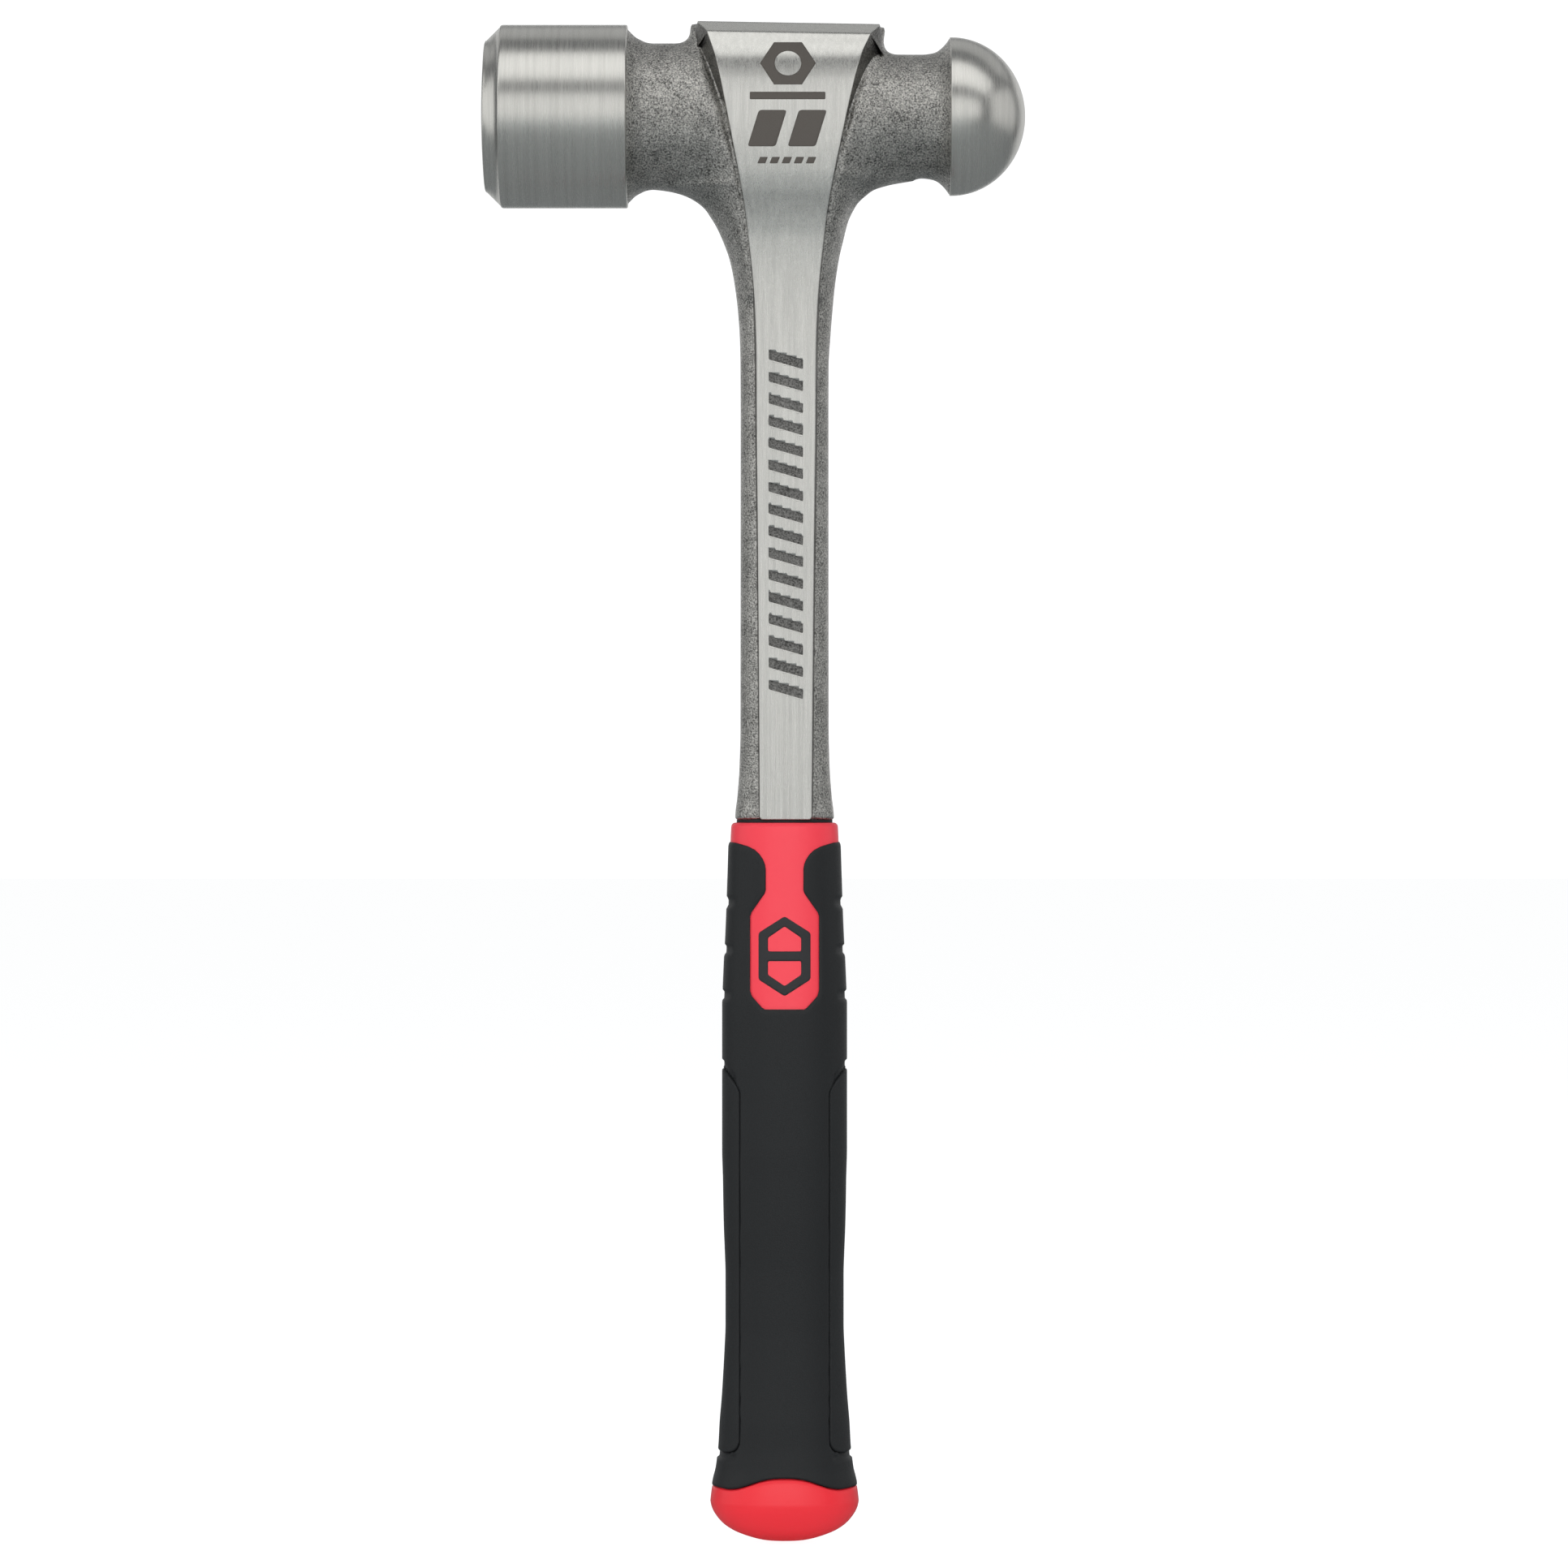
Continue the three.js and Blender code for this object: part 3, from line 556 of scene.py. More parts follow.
POLISHED_HEAD = brushed_steel("steel_turned", (1, 0.02, 0.02), (0.745, 0.735, 0.69), (0.24, 0.34), 0.1)
POLISHED_PANEL = brushed_steel("steel_ground", (1, 1, 0.018), (0.75, 0.742, 0.70), (0.22, 0.36), 0.22)
BLASTED = blasted_steel("steel_blasted", (0.1, 0.098, 0.092), (0.85, 0.83, 0.78))
# Steel in the pockets and on the polished strip's walls: blasted like the flanks, but with a darker light
# colour that is painted shade for these recesses and edges.
SHADED_POCKET_STEEL = blasted_steel("steel_pocket_shaded", (0.1, 0.098, 0.093), (0.42, 0.41, 0.39), 0.4)
ETCH = moulded("steel_etched", (0.075, 0.066, 0.057), 0.55, 3000, 0.3)
RED = moulded("red_plastic", (0.86, 0.042, 0.068), 0.42, 900, 0.05)
# The butt cap: the core's red plastic again, in a deeper, darker copy that is painted shade for the lower end
# of the grip.
SHADED_CAP_RED = moulded("cap_red_shaded", (0.86, 0.022, 0.036), 0.36, 900, 0.05)
RUBBER = moulded("black_rubber", (0.0115, 0.0128, 0.0138), 0.52, 2600, 0.25, specular=0.4)
PAD = moulded("pad_rubber", (0.0125, 0.014, 0.015), 0.56, 2200, 0.25, specular=0.4)
GASKET = moulded("gasket_rubber", (0.008, 0.008, 0.009), 0.6, 2000, 0.1)
NYLON = moulded("grey_nylon", (0.09, 0.095, 0.1), 0.55, 1500, 0.1)
BADGE = moulded("badge_plastic", (0.018, 0.018, 0.02), 0.5, 2500, 0.1)

BODY = "root"


def keep(obj, slot, *nodes):
    """Puts a finished piece on the body, in place of the CAD nodes it replaces; slot is not used."""
    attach(obj, BODY)
    if nodes:
        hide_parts(*nodes)
    return obj


# ---------------------------------------------------------------- the forging
PITCH = 0.6
points, quads = surface_of(forging, (-44, -22.2, 190.5), (46, 22.2, 408), PITCH)
body = obj_from("forging_blasted", points, quads, BLASTED)
sharpen(body, 40)
keep(body, "forged_steel", "forged_head_and_shaft")


def arc(x0, r0, x1, r1, bulge, count):
    """Points between two profile points along a quarter of an ellipse, which leaves along the radius if
    bulge is set."""
    out = []
    for a in np.linspace(0, math.pi / 2, count + 1):
        s, c = math.sin(a), 1 - math.cos(a)
        u, v = (s, c) if bulge else (c, s)
        out.append((x0 + (x1 - x0) * v, r0 + (r1 - r0) * u))
    return out


FACE_X, FACE_R = -80.9, 19.9  # the poll's face
FACE_CROWN = 0.9  # how far the face falls back at its edge
CHAMFER_FROM, CHAMFER_TO = -79.5, -75.8
POLL_R = 24.4
POLL_BACK = -41.6


def poll_profile():
    """The crowned face, its chamfer, the turned skirt and the back."""
    inner, outer = FACE_R - 0.5, FACE_R + 0.35
    profile = [(FACE_X + FACE_CROWN * (r / FACE_R) ** 2, r) for r in np.linspace(0, inner, 10)]
    profile += arc(-80.05, inner, CHAMFER_FROM, outer, True, 4)[1:]
    run = CHAMFER_TO - CHAMFER_FROM
    profile += [(CHAMFER_FROM + run * t, outer + 3.65 * t) for t in (0.33, 0.66, 1.0)]
    profile += arc(CHAMFER_TO, 24.0, -75.0, POLL_R, True, 5)[1:]
    profile += [(x, POLL_R) for x in np.linspace(-74, -43, 12)]
    profile += arc(-42.35, POLL_R, -41.9, POLL_R - 0.45, False, 4)
    return profile + [(-41.8, 21.0), (POLL_BACK, 0.0)]


BALL_BACK, BALL_MIDDLE, BALL_TIP = 43.9, 44.5, 64.3
BALL_R = 21.1


def ball_profile():
    """The flat back, its rounded rim and half an ellipse."""
    profile = [(BALL_BACK, 0.0), (BALL_BACK, 19.5), (44.0, 20.6)]
    profile += arc(44.0, 20.75, 44.35, BALL_R, True, 4)
    for a in np.linspace(0.02, math.pi / 2, 44)[1:-1]:
        profile.append((BALL_MIDDLE + (BALL_TIP - BALL_MIDDLE) * math.sin(a), BALL_R * math.cos(a)))
    return profile + [(BALL_TIP, 0.0)]


keep(lathe("poll", poll_profile(), POLISHED_HEAD), "forged_steel")
keep(lathe("ball", ball_profile(), POLISHED_HEAD), "forged_steel")


# The polished strip: up the front panel, over the top of the cheek and down the back.
def strip_path():
    """The strip's middle as (y, z) points, from the foot of the front to the foot of the back."""
    foot = np.linspace(SHOULDER_Z + 0.1, SHOULDER_Z + 1.2, 7)
    heights = np.concatenate([foot, np.arange(194.5, KNEE_FROM, 0.75)])
    front = [(-float(panel_y(z)), float(z)) for z in heights]
    knee = [(fall - float(panel_y(KNEE_FROM)), z) for z, fall in KNEE]
    crown_from, crown_foot = knee[-1]
    crown = []
    for y in np.linspace(crown_from, 0, 10)[1:]:
        crown.append((float(y), float(CROWN_TOP - (CROWN_TOP - crown_foot) * (y / crown_from) ** 2)))
    half_way = np.array(front + knee + crown)
    return np.concatenate([half_way, (half_way * [-1, 1])[-2::-1]])


path = strip_path()
tangent = np.gradient(path, axis=0)
tangent /= np.linalg.norm(tangent, axis=1)[:, None]
outward = np.stack([-tangent[:, 1], tangent[:, 0]], -1)
over = smooth((path[:, 1] - 401.5) / 4.0)  # 0 on the panels, 1 over the top
TOP_HALF = 24.3  # half width over the top
half = panel_half(path[:, 1]) * (1 - over) + TOP_HALF * over
half -= 0.9 * (1 - np.sqrt(1 - np.clip(1 - (path[:, 1] - SHOULDER_Z) / 0.9, 0, 1) ** 2))
centre = panel_centre(path[:, 1])
LIP = [(-0.22, 0.0), (-0.1, 0.03), (-0.03, 0.1), (0.0, 0.22), (0.12, 0.8)]  # (outset, depth) over its edges
FACE_INSET = 0.25  # from the strip's edge to the last point of the face between the lips
columns = [(-1, outset, depth) for outset, depth in reversed(LIP)]
columns += [(float(u), None, 0.0) for u in np.linspace(-1, 1, 42)[1:-1]]
columns += [(1, outset, depth) for outset, depth in LIP]


def strip_row(i):
    """One row across the strip: wall, lip, face, lip and wall."""
    height = path[i][1]
    row = []
    for u, outset, depth in columns:
        reach = half[i] - FACE_INSET if outset is None else half[i] + outset
        y, z = path[i] - outward[i] * depth
        row.append((centre[i] + u * reach, y, z))
    drop = 1.6 * over[i] + float(wall_drop(height) + 0.4) * (1 - over[i])
    slant = float(np.interp(height, [350, 375], [0.25, 1 / WALL_SLOPE])) * (1 - over[i]) + 0.25 * over[i]
    lean = slant * drop
    y, z = path[i] - outward[i] * (LIP[-1][1] + drop)
    row = [(row[0][0] - lean, y, z)] + row + [(row[-1][0] + lean, y, z)]
    return [(x, y, z - top_fall(x, height)) for x, y, z in row]


def polished_strip():
    """The rows skinned over, closed straight across underneath and at both ends."""
    rows = np.array([strip_row(i) for i in range(len(path))])
    row_count, column_count, _ = rows.shape
    faces = [list(map(int, f)) for f in sheet_faces(row_count, column_count, False)]
    spans = column_count - 1
    # The walls and the steep outer part of each lip take the darker pocket steel: painted shade along the
    # strip's edges.
    walls = [k % spans in (0, 1, spans - 2, spans - 1) for k in range(len(faces))]
    for i in range(row_count - 1):
        a, b = i * column_count, (i + 1) * column_count
        faces.append([a, b, b + spans, a + spans])
    faces.append(list(range(column_count))[::-1])
    faces.append([(row_count - 1) * column_count + c for c in range(column_count)])
    obj = obj_from("panels_polished", rows.reshape(-1, 3), faces, [POLISHED_PANEL, SHADED_POCKET_STEEL])
    material = np.zeros(len(faces), np.int32)
    material[: len(walls)] = walls
    obj.data.polygons.foreach_set("material_index", material)
    face_outward(obj)
    return obj


strip = polished_strip()

# Slanted pockets sunk into the front panel of the shaft.
POCKET_COUNT, POCKET_FROM, POCKET_TO = 16, 227.2, 314.8
POCKET_DEPTH = 0.45


def prism(name, outline, y_from, y_to, material):
    """A straight block with an outline of (x, z) points."""
    n = len(outline)
    vertices = [(x, y_from, z) for x, z in outline] + [(x, y_to, z) for x, z in outline]
    faces = [list(range(n)), list(range(2 * n - 1, n - 1, -1))]
    faces += [[i, n + i, n + (i + 1) % n, (i + 1) % n] for i in range(n)]
    obj = obj_from(name, vertices, faces, material, flat=True)
    face_outward(obj)
    return obj


def rounded(outline, radius, count=4):
    """The outline with each corner rounded."""
    out = []
    n = len(outline)
    for i in range(n):
        p = np.array(outline[i], float)
        a, b = np.array(outline[i - 1], float), np.array(outline[(i + 1) % n], float)
        da, db = (a - p) / np.linalg.norm(a - p), (b - p) / np.linalg.norm(b - p)
        r = min(radius, 0.45 * np.linalg.norm(a - p), 0.45 * np.linalg.norm(b - p))
        for t in np.linspace(0, 1, count + 1):
            out.append(tuple((1 - t) ** 2 * (p + da * r) + 2 * t * (1 - t) * p + t * t * (p + db * r)))
    return out


def refined(outline, step=0.7):
    """The outline with extra points along its long edges."""
    out = []
    for (x0, z0), (x1, z1) in zip(outline, outline[1:] + outline[:1]):
        parts = max(1, math.ceil(math.hypot(x1 - x0, z1 - z0) / step))
        out += [(x0 + (x1 - x0) * k / parts, z0 + (z1 - z0) * k / parts) for k in range(parts)]
    return out


def joined(objs, name):
    """Several objects made one."""
    bpy.ops.object.select_all(action="DESELECT")
    for o in objs:
        o.select_set(True)
    bpy.context.view_layer.objects.active = objs[0]
    bpy.ops.object.join()
    objs[0].name = name
    return objs[0]


def slanted(z, left=-4.2, right=4.9, rise=-2.6, thick=2.5):
    """A bar across the shaft, lower on its right."""
    half_thick = thick / 2
    low, high = z - rise / 2, z + rise / 2
    upper = [(left, low + half_thick), (right, high + half_thick)]
    return upper + [(right, high - half_thick), (left, low - half_thick)]


# Each cutter's floor and walls carry the darker pocket steel onto the cut: painted shade in the pockets.
cutters = []
for z in np.linspace(POCKET_FROM, POCKET_TO, POCKET_COUNT):
    floor_y = -(float(panel_y(z)) - POCKET_DEPTH)
    cutters.append(prism("pocket", rounded(slanted(float(z)), 0.4, 3), -14.0, floor_y, SHADED_POCKET_STEEL))
cut(strip, joined(cutters, "pockets"), tangled=True)
sharpen(strip, 38)
keep(strip, "forged_steel")


def distance_to(outline, x, z):
    """Signed distance in the (x, z) plane to a closed outline, negative inside."""
    pts = np.array(outline, float)
    best = np.full(x.shape, 1e9)
    inside = np.zeros(x.shape, bool)
    for (ax, az), (bx, bz) in zip(pts, np.roll(pts, -1, 0)):
        dx, dz = bx - ax, bz - az
        t = np.clip(((x - ax) * dx + (z - az) * dz) / (dx * dx + dz * dz + 1e-12), 0, 1)
        best = np.minimum(best, np.hypot(x - ax - t * dx, z - az - t * dz))
        crosses = (az > z) != (bz > z)
        with np.errstate(divide="ignore", invalid="ignore"):
            at = ax + (z - az) * dx / (dz if dz else 1e-9)
        inside ^= crosses & (x < at)
    return np.where(inside, -best, best)


# Etched marks, thin skins laid on the front panel.
def mark(name, shapes, depth_at, side, material, lift=0.02, thickness=0.32):
    """Thin skins that follow a face; a shape is a list of (x, z) rings: its outline, then its holes."""
    vertices, faces = [], []
    for shape in shapes:
        rings = [np.array(refined(ring)) for ring in shape]
        edges, spots = [], []
        for ring in rings:
            first = len(spots)
            spots += [tuple(p) for p in ring]
            edges += [(first + i, first + (i + 1) % len(ring)) for i in range(len(ring))]
        low, high = rings[0].min(0), rings[0].max(0)
        grid = np.meshgrid(np.arange(low[0] + 0.3, high[0], 0.55), np.arange(low[1] + 0.3, high[1], 0.55))
        gx, gz = grid[0].ravel(), grid[1].ravel()
        clear = distance_to(rings[0], gx, gz) < -0.2
        for hole in rings[1:]:
            clear &= distance_to(hole, gx, gz) > 0.2
        inner = list(zip(gx[clear], gz[clear]))
        found, _, tris, *_ = delaunay_2d_cdt([Vector(p) for p in spots + inner], edges, [], 0, 1e-5)
        flat = np.array([tuple(p) for p in found])
        middle = flat[np.array(tris)].mean(1)
        inside = distance_to(rings[0], middle[:, 0], middle[:, 1]) < 0
        for hole in rings[1:]:
            inside &= distance_to(hole, middle[:, 0], middle[:, 1]) > 0
        kept = [list(t) for t, wanted in zip(tris, inside) if wanted]
        first, n = len(vertices), len(flat)
        for level in (lift, lift - thickness):
            vertices += [(x, side * (float(depth_at(x, z)) + level), z) for x, z in flat]
        rim = set()
        for t in kept:
            faces.append([first + i for i in t])
            faces.append([first + n + i for i in reversed(t)])
            rim.update(zip(t, t[1:] + t[:1]))
        for a, b in rim:
            if (b, a) not in rim:
                faces.append([first + b, first + a, first + n + a, first + n + b])
    obj = obj_from(name, vertices, faces, material)
    face_outward(obj)
    sharpen(obj, 30)
    return obj


def ring_points(cx, cz, radius, sides, squash, per_side=1):
    """A regular polygon, squashed in height, with extra points along its sides."""
    turns = [2 * math.pi * k / sides for k in range(sides)]
    corners = [np.array((cx + radius * math.cos(a), cz + squash * radius * math.sin(a))) for a in turns]
    out = []
    for p, q in zip(corners, corners[1:] + corners[:1]):
        out += [tuple(p + (q - p) * t / per_side) for t in range(per_side)]
    return out


def bar(cx, cz, width, height, slant=0.0, radius=0.3):
    """A rounded bar whose top leans to the right by slant."""
    left, right, low, high = cx - width / 2, cx + width / 2, cz - height / 2, cz + height / 2
    outline = [(left - slant, low), (right - slant, low), (right + slant, high), (left + slant, high)]
    return [rounded(outline, radius, 3)]


# On the cheek: a hexagon ring, a bar, two lozenges and five dashes
head_marks = [[ring_points(0.9, 392.9, 7.4, 6, 0.9, 8), ring_points(0.9, 392.9, 3.5, 48, 0.95)]]
head_marks += [bar(0.8, 384.2, 20.0, 2.0)]
head_marks += [bar(0.7 + 5.3 * k, 375.6, 7.4, 9.6, 1.5, 0.8) for k in (-1, 1)]
head_marks += [bar(0.6 + 3.2 * k, 367.2, 2.1, 1.7, 0.35, 0.15) for k in (-2, -1, 0, 1, 2)]
keep(mark("head_etching", head_marks, lambda x, z: panel_y(z), -1, ETCH), "forged_steel")


# ---------------------------------------------------------------- the grip
OVAL = 0.81  # depth of its section over its width
POWER = 2.3  # of the superellipse: 2 is an ellipse, more is squarer
over_half = through(
    [
        (187.0, 15.0), (174.0, 15.4), (168.0, 15.6), (161.0, 15.9), (155.7, 16.2), (148.8, 16.5),
        (143.6, 16.7), (105.0, 16.7), (97.0, 16.5), (90.6, 16.4), (84.0, 16.25), (77.6, 16.0),
        (71.0, 15.8), (58.0, 15.8), (51.6, 16.05), (45.0, 16.4), (38.6, 16.8), (32.0, 17.35),
        (25.6, 17.7), (22.0, 18.1), (19.5, 18.45), (16.9, 19.1), (14.3, 19.6), (10.8, 19.85),
    ]
)
core_half = through(
    [(192.0, 14.2), (187.0, 14.45), (174.0, 14.75), (161.0, 15.2), (148.0, 15.8), (141.0, 16.0)]
)


def oval(half_width, inset, theta):
    """Points of the grip's section, for arrays of half width and angle."""
    c, s = np.cos(theta), np.sin(theta)
    e = 2 / POWER
    x = (half_width - inset) * np.sign(c) * np.abs(c) ** e
    y = (half_width * OVAL - inset) * np.sign(s) * np.abs(s) ** e
    return x, y


def ring(half_width, inset, theta, z):
    """The section at a height, or along a line of heights."""
    x, y = oval(half_width, inset, theta)
    return np.stack([x, y, np.zeros_like(x) + z], -1)


def even_angles(count):
    """Angles that step evenly round the section's outline."""
    t = np.linspace(0, 2 * math.pi, 4001)
    x, y = oval(16.0, 0.0, t)
    length = np.concatenate([[0], np.cumsum(np.hypot(np.diff(x), np.diff(y)))])
    return np.interp(np.linspace(0, length[-1], count, endpoint=False), length, t)


def window():
    """The keyhole in the overmould, with everything above its shoulders."""
    right = [
        (24.0, 186.7), (14.6, 186.6), (13.2, 186.5), (11.6, 186.1), (9.6, 185.5), (7.9, 184.6),
        (6.7, 183.5), (5.8, 182.2), (5.2, 180.8), (5.0, 179.5), (5.0, 173.9), (5.3, 173.0), (8.8, 168.0),
        (9.15, 167.0), (9.15, 147.2), (8.7, 145.8), (6.0, 142.8), (5.2, 142.3),
    ]
    left = [(-x, z) for x, z in reversed(right)]
    return [(24.0, 200.0)] + right + left + [(-24.0, 200.0)]


WINDOW = window()
WAVE_MID, WAVE_HEIGHT, WAVE_REACH = 16.4, 1.6, 15.2
SEAM = 0.12  # half of the fine line between overmould and butt cap


def wave(x):
    """Height of the line between overmould and butt cap: highest in the middle, nearly level near the
    sides."""
    out = np.abs(x) / WAVE_REACH
    level = WAVE_MID + WAVE_HEIGHT * np.cos(np.pi * np.minimum(out, 1) ** 1.35)
    return level + 1.1 * np.maximum(out - 1, 0)


# Side pads: the outline has an upright inner edge, a slanted top and a rounded foot.
PAD_EDGE = 12.2
PAD_FOOT = 24.3
FOOT_ROUND = 4.1
TOP_ROUND = 1.4


def pad_top(x):
    """Height of a pad's slanted top."""
    return 121.0 + 5.2 * np.clip((np.abs(x) - PAD_EDGE) / 4.4, 0, 1)


def pad_depth(x, z):
    """Distance inside a pad's outline, negative outside."""
    side = np.abs(x) - PAD_EDGE
    return blend_min(blend_min(side, z - PAD_FOOT, FOOT_ROUND), pad_top(x) - z, TOP_ROUND)


def corner_rise(side, reach):
    """How far a rounded corner has pulled in, at a distance from the upright edge."""
    side = np.clip(side, 0, reach)
    return reach + side - 2 * np.sqrt(reach * side)


RIBS = (170.5, 157.9, 145.8)  # heights of the three notches on each side
RIB_DEPTH = 0.55
GROOVE_DEPTH = 0.6  # above and below each pad
PAD_BED_DEPTH = 1.25


def notch(offset, half_height, slope):
    """1 across a groove, easing to 0 over its slopes."""
    return 1 - smooth((np.abs(offset) - half_height) / slope)


def grip_relief(x, z, theta):
    """How far the overmould's surface sinks below its plain skin."""
    flat = np.abs(np.cos(theta))
    side = smooth((flat - 0.78) / 0.18)
    beyond_pad = smooth((np.abs(x) - PAD_EDGE - 0.3) / 1.6)
    sink = np.zeros_like(x)
    for at in RIBS:
        sink += RIB_DEPTH * side * notch(z - at, 0.8, 0.8)
    sink += GROOVE_DEPTH * beyond_pad * notch(z - pad_top(x) - 1.3, 0.7, 0.6)
    sink += GROOVE_DEPTH * beyond_pad * notch(z - PAD_FOOT + 1.0, 0.5, 0.6)
    # Its edges round over at the window and at the seam.
    sink += 0.35 * np.clip(1 - distance_to(WINDOW, x, z) / 1.1, 0, 1) ** 2
    sink += 0.12 * np.clip(1 - (z - wave(x)) / 0.7, 0, 1) ** 2
    sink += PAD_BED_DEPTH * smooth((pad_depth(x, z) + 0.3) / 0.3)
    return sink


SKIN_TOP = 188.4  # higher than its shoulders, which the keyhole's outline cuts
OVERMOULD = 2.0  # its thickness


def overmould_rings():
    """The outside from the seam upward, then the plain inside back down."""
    around, up = ((232, 300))
    theta = even_angles(around)
    foot = wave(oval(19.4, 0, theta)[0]) + SEAM
    share = np.linspace(0, 1, up)[:, None]
    height = foot[None] + share * (SKIN_TOP - foot[None])
    angle = np.broadcast_to(theta, height.shape)
    width = over_half(height)
    x, _ = oval(width, 0.0, angle)
    outside = ring(width, grip_relief(x, height, angle), angle, height)
    inside = []
    for t in np.linspace(1, 0, 26):
        z = foot + t * (SKIN_TOP - foot)
        inside.append(ring(over_half(z), OVERMOULD, theta, z))
    return np.concatenate([outside, np.array(inside)])


overmould = torus_loft("grip_overmould", overmould_rings(), RUBBER)
face_outward(overmould)
keyhole = prism("keyhole", WINDOW, -24.0, 24.0, RUBBER)
cut(overmould, keyhole)
sharpen(overmould, 50)
keep(overmould, "black_rubber", "grip_overmould")

# Red core: the collar and the lands that show in the windows.
COLLAR_HALF = 14.2
COLLAR_ROUND_FROM = 190.6
around_core = even_angles(144)


def core_rings():
    """Up the outside, over the collar's rounded top and down its bore."""
    rings = []
    for z in np.concatenate([np.linspace(20, 140, 13), np.linspace(141, COLLAR_ROUND_FROM, 40)]):
        half_here = float(core_half(z)) if z > 140 else float(over_half(z)) - 2.1
        rings.append(ring(half_here, 0.0, around_core, z))
    for a in np.linspace(0.15, math.pi / 2, 8):
        inset, z = 1.1 * (1 - math.cos(a)), COLLAR_ROUND_FROM + 1.2 * math.sin(a)
        rings.append(ring(float(core_half(COLLAR_ROUND_FROM)), inset, around_core, z))
    rings += [ring(COLLAR_HALF, inset, around_core, COLLAR_Z) for inset in (2.0, 3.2, 3.6)]
    return rings + [ring(COLLAR_HALF, 3.6, around_core, z) for z in (150.0, 21.0)]


core = torus_loft("grip_core", core_rings(), RED)
face_outward(core)
keep(core, "red_plastic", "grip_core")

# Gasket between the collar and the steel shoulder.
GASKET_HALF = 13.4
gasket_section = ((5.5, 191.2), (0.9, 191.2), (0.6, 191.5), (0.6, 192.5), (0.9, 192.8), (5.5, 192.8))
gasket_rings = [ring(GASKET_HALF, inset, around_core, z) * [1, 0.93, 1] for inset, z in gasket_section]
keep(torus_loft("shoulder_gasket", gasket_rings, GASKET), "gasket_rubber", "shoulder_gasket")


PAD_ROUND = 0.6  # over its border
PAD_BACK = 1.35  # its back lies this far under the grip's plain skin


def eased(t, power):
    """Numbers from -1 to 1 with the steps made finer towards both ends."""
    return np.sign(t) * (1 - (1 - np.abs(t)) ** power)


def pad_row(t, us, side):
    """Outer and back points across a pad, at share t of its height, for shares us of its width."""
    about = over_half(24 + t * 102)
    edge_angle = math.acos(min(1.0, (PAD_EDGE / float(about)) ** (POWER / 2)))
    px = np.abs(oval(about, 0.0, us * edge_angle)[0])
    low = PAD_FOOT + corner_rise(px - PAD_EDGE, FOOT_ROUND)
    high = pad_top(px) - corner_rise(px - PAD_EDGE, TOP_ROUND)
    z = low + t * (high - low)
    width = over_half(z)
    edge_angle = np.arccos(np.clip((PAD_EDGE / width) ** (POWER / 2), -1, 1))
    angle = us * edge_angle
    border = np.minimum((1 - np.abs(us)) * edge_angle * width, np.minimum(t, 1 - t) * 100)
    from_flat = 1 - np.clip(border / PAD_ROUND, 0, 1)
    fall = PAD_ROUND * (1 - np.sqrt(np.maximum(1 - from_flat**2, 0)))
    return [ring(width, inset, angle, z) * [side, 1, 1] for inset in (fall, PAD_BACK)]


def side_pad(name, side):
    """A pad as a pillow over its outline, with a flat back."""
    n_u, n_v = ((72, 300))
    us = eased(np.linspace(-1, 1, n_u), 1.25)
    vs = 0.5 - 0.5 * eased(1 - 2 * np.linspace(0, 1, n_v), 1.2)
    rows = np.array([pad_row(t, us, side) for t in vs])
    vertices = np.concatenate([rows[:, 0].reshape(-1, 3), rows[:, 1].reshape(-1, 3)])
    n = n_u * n_v
    faces = [list(map(int, f)) for f in sheet_faces(n_v, n_u, False)]
    faces += [[int(n + i) for i in reversed(f)] for f in sheet_faces(n_v, n_u, False)]
    rim = list(range(n_u)) + [r * n_u + n_u - 1 for r in range(1, n_v)]
    rim += [(n_v - 1) * n_u + c for c in range(n_u - 2, -1, -1)] + [r * n_u for r in range(n_v - 2, 0, -1)]
    for a, b in zip(rim, rim[1:] + rim[:1]):
        faces.append([a, b, n + b, n + a])
    obj = obj_from(name, vertices, faces, PAD)
    face_outward(obj)
    sharpen(obj, 50)
    return keep(obj, "pad_rubber", name)


side_pad("side_pad_poll", -1)
side_pad("side_pad_ball", 1)

# Butt cap: a dome up to its widest ring, then straight on to the seam.
WIDEST_Z = 10.8
dome = through(
    [
        (0.0, 0.0), (0.03, 1.7), (0.12, 3.3), (0.4, 5.9), (0.8, 7.8), (1.3, 9.5), (2.2, 12.0),
        (3.0, 13.8),
        (4.8, 16.45), (6.5, 18.0), (8.2, 19.1), (9.5, 19.6), (WIDEST_Z, 19.85),
    ]
)
DOME_HEIGHTS = (
    0.012, 0.03, 0.07, 0.12, 0.2, 0.3, 0.45, 0.65, 0.9, 1.2, 1.6, 2.0, 2.5, 3.1, 3.8, 4.6, 5.4, 6.2, 7.0,
    7.8, 8.6, 9.4, 10.1, WIDEST_Z,
)


def cap_rings():
    """Rings up the dome and on to the seam, then a plug that stands up inside the overmould."""
    theta = even_angles(192)
    seam = wave(oval(19.5, 0, theta)[0]) - SEAM
    rings = [ring(float(dome(z)), 0.0, theta, z) for z in DOME_HEIGHTS]
    for t in np.linspace(0, 1, 12)[1:]:
        z = WIDEST_Z + t * (seam - WIDEST_Z)
        soft = 0.25 * np.clip(1 - (seam - z) / 0.8, 0, 1) ** 2
        rings.append(ring(over_half(z), 0.22 * t + soft, theta, z))
    return rings + [ring(over_half(seam), 2.6, theta, z) for z in (seam, seam + 4.0)]


cap = closed_loft("butt_cap", cap_rings(), SHADED_CAP_RED, 40)
face_outward(cap)
keep(cap, "red_plastic", "butt_cap")


# Badges: tall hexagons with two openings, let into the windows' lands, front and back.
BADGE_Z = COLLAR_Z - 35.4
BADGE_WIDE, BADGE_SHOULDER, BADGE_TIP = 6.9, 6.2, 10.6  # from its middle
OPENING_WIDE, OPENING_FROM, OPENING_SHOULDER, OPENING_TIP = 4.4, 1.3, 4.9, 7.9


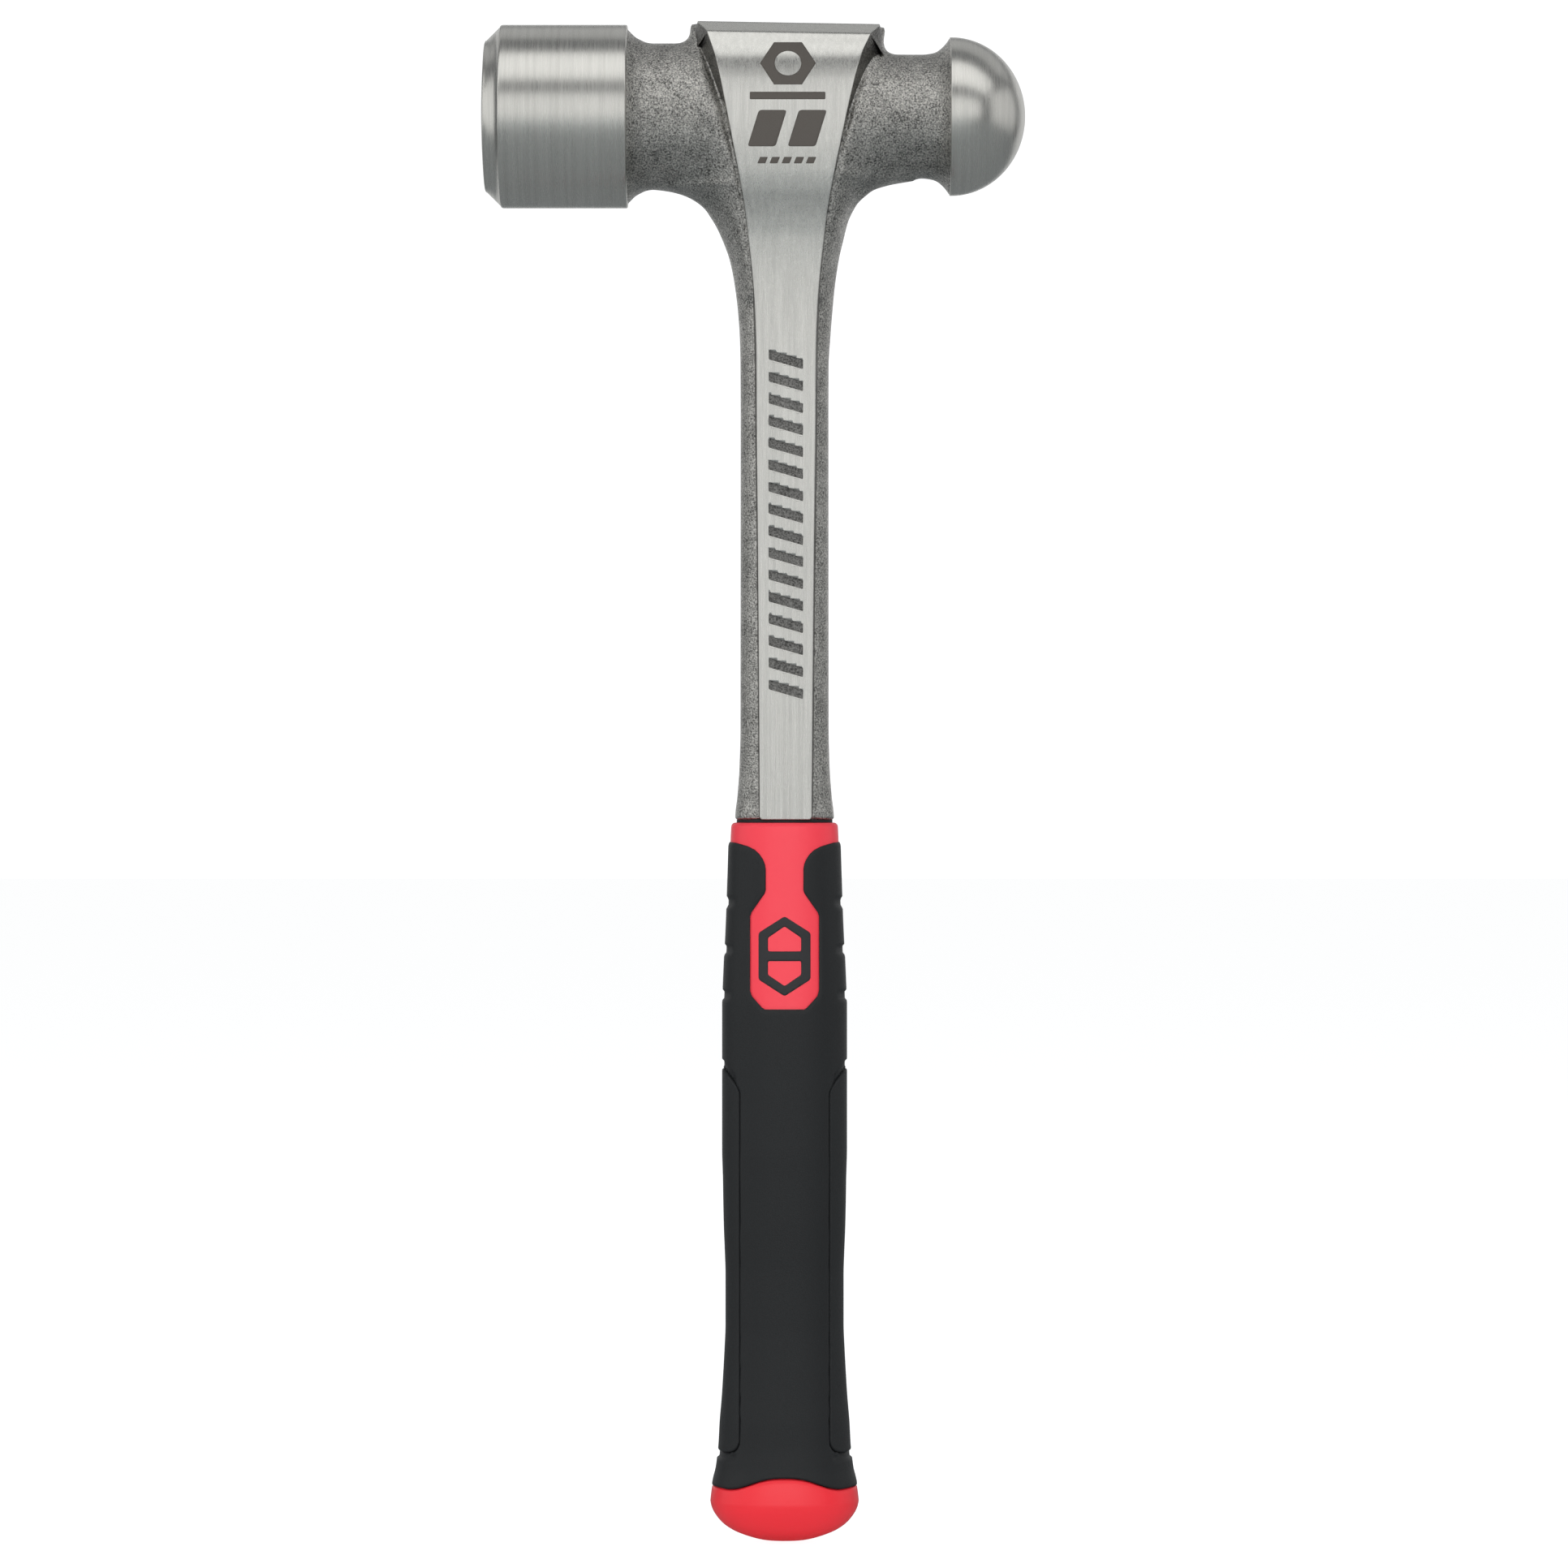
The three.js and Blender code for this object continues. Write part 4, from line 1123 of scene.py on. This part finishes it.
def badge_outlines():
    """The hexagon, then its two openings."""
    upper = [(BADGE_WIDE, BADGE_SHOULDER), (0.0, BADGE_TIP), (-BADGE_WIDE, BADGE_SHOULDER)]
    outer = upper + [(-x, -z) for x, z in upper]
    right = [(OPENING_WIDE, OPENING_FROM), (OPENING_WIDE, OPENING_SHOULDER)]
    opening = right + [(0.0, OPENING_TIP)] + [(-x, z) for x, z in reversed(right)]
    openings = [[(side * x, side * z) for x, z in opening] for side in (1, -1)]
    shapes = [rounded(outer, 0.7)] + [rounded(hole, 0.5) for hole in openings]
    return [[(x, BADGE_Z + z) for x, z in shape] for shape in shapes]


def land_depth(x, z):
    """Half thickness of the red core at the window."""
    half = core_half(z)
    return half * OVAL * (1 - (np.abs(x) / half) ** POWER) ** (1 / POWER)


for name, side in (("badge_front", -1), ("badge_back", 1)):
    keep(mark(name, [badge_outlines()], land_depth, side, BADGE, 0.06, 1.0), "badge_plastic", name)


# Hidden inside the grip: the tang and its tuning fork. The sleeve round it stays as the CAD has it.
def box(name, low, high):
    """A plain block between two corners."""
    outline = [(low[0], low[2]), (high[0], low[2]), (high[0], high[2]), (low[0], high[2])]
    return prism(name, outline, low[1], high[1], BLASTED)


tang = [box("tang", (-7.2, -4.8, 114.0), (7.2, 4.8, 193.6))]
for reach, low, high in ((5.6, 44.0, 114.0), (6.8, 30.0, 44.0)):
    tang.append(box("arm", (-reach, -3.9, low), (-2.2, 3.9, high)))
    tang.append(box("arm", (2.2, -3.9, low), (reach, 3.9, high)))
keep(joined(tang, "tang_and_fork"), "forged_steel")
for node in ("fork_sleeve_front", "fork_sleeve_back"):
    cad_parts[node].data.materials.clear()
    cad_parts[node].data.materials.append(NYLON)


# ---------------------------------------------------------------- studio
def seen_white(tree, shader_out, target, strength, bounce=0.0):
    """Adds light that only the camera sees, so that the studio's background is plain white, and a
    bounce that only matt surfaces get."""
    path = tree.nodes.new("ShaderNodeLightPath")
    glow = tree.nodes.new("ShaderNodeEmission")
    add = tree.nodes.new("ShaderNodeAddShader")
    total = None
    for ray, share in (("Is Camera Ray", strength), ("Is Diffuse Ray", bounce)):
        scale = tree.nodes.new("ShaderNodeMath")
        scale.operation = "MULTIPLY_ADD"
        scale.inputs[1].default_value = share
        scale.inputs[2].default_value = 0.0
        tree.links.new(path.outputs[ray], scale.inputs[0])
        if total is not None:
            tree.links.new(total, scale.inputs[2])
        total = scale.outputs[0]
    tree.links.new(total, glow.inputs["Strength"])
    tree.links.new(shader_out, add.inputs[0])
    tree.links.new(glow.outputs[0], add.inputs[1])
    tree.links.new(add.outputs[0], target)


FLOOR_GAP = 0.0006  # metres, under the butt
FLOOR_REACH = 12  # metres, each way


def pale_floor():
    """A wide floor just under the butt."""
    z = -ORIGIN_Z * MM - FLOOR_GAP
    corners = ((-1, -1), (1, -1), (1, 1), (-1, 1))
    mesh = bpy.data.meshes.new("floor")
    mesh.from_pydata([(FLOOR_REACH * x, FLOOR_REACH * y, z) for x, y in corners], [], [[0, 1, 2, 3]])
    m = Nodes("studio_white", Base_Color=(0.37, 0.39, 0.4, 1), Roughness=0.9, Specular_IOR_Level=0.1)
    output = m.tree.nodes["Material Output"]
    seen_white(m.tree, m.shader.outputs[0], output.inputs["Surface"], 0.93, 0.5)
    mesh.materials.append(m.material)
    obj = bpy.data.objects.new("floor", mesh)
    bpy.context.scene.collection.objects.link(obj)
    obj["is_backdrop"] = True


def softbox(name, where, look, size, power):
    """A rectangular light of a size in metres, aimed at look."""
    data = bpy.data.lights.new(name, "AREA")
    data.shape = "RECTANGLE"
    data.size, data.size_y = size
    data.energy = power
    obj = bpy.data.objects.new(name, data)
    obj.location = where
    direction = Vector(look) - Vector(where)
    obj.rotation_euler = direction.to_track_quat("-Z", "Y").to_euler()
    bpy.context.scene.collection.objects.link(obj)
    obj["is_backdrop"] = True
    return obj


pale_floor()
HEAD_ROW_Z = (HEAD_Z - ORIGIN_Z) * MM  # the head's axis, in metres in the frame
HEAD_MIDDLE = (0, 0, HEAD_ROW_Z)
SHAFT = (0, 0, 0.2)
softbox("key_front", (0.0, -2.6, HEAD_ROW_Z + 0.08), HEAD_MIDDLE, (6.0, 2.15), 30)
softbox("overhead", (0.0, -0.75, HEAD_ROW_Z + 1.35), (0, -0.1, HEAD_ROW_Z), (4.6, 1.15), 15)
softbox("side_right", (2.4, 0.1, 0.3), SHAFT, (2.4, 2.2), 8.5)
softbox("side_left", (-2.3, -0.5, 0.3), SHAFT, (2.4, 2.2), 12.5)
softbox("wall_behind", (0.0, 1.6, 0.5), (0, 0, 0.5), (3.4, 1.2), 7)
softbox("above_behind", (0.0, 0.9, HEAD_ROW_Z + 1.25), HEAD_MIDDLE, (3.6, 1.0), 3.6)
fill = softbox("fill", (0.0, -2.2, 0.0), (0, 0, 0), (1.8, 1.8), 35)
fill.visible_glossy = False

world = bpy.data.worlds.new("studio")
world.use_nodes = True
background = world.node_tree.nodes["Background"]
background.inputs["Color"].default_value = (0.92, 0.96, 1.0, 1)
background.inputs["Strength"].default_value = 0.14
world_out = world.node_tree.nodes["World Output"]
seen_white(world.node_tree, background.outputs[0], world_out.inputs["Surface"], 1.0)
bpy.context.scene.world = world

camera_data = bpy.data.cameras.new("camera")
camera = bpy.data.objects.new("camera", camera_data)
bpy.context.scene.collection.objects.link(camera)
CAMERA_DISTANCE = 1.7
CAMERA_ASIDE = -0.00015  # metres, to the left
CAMERA_HEIGHT = 202.1  # above the butt, in millimetres
FRAME_WIDTH = 0.419  # metres across at the hammer
SENSOR = 36
camera_data.sensor_width = SENSOR
camera_data.lens = SENSOR * CAMERA_DISTANCE / FRAME_WIDTH
camera.location = (CAMERA_ASIDE, -CAMERA_DISTANCE, (CAMERA_HEIGHT - ORIGIN_Z) * MM)
camera.rotation_euler = (math.pi / 2, 0, 0)
bpy.context.scene.camera = camera
bpy.context.scene.view_settings.view_transform = "Standard"

low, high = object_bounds()
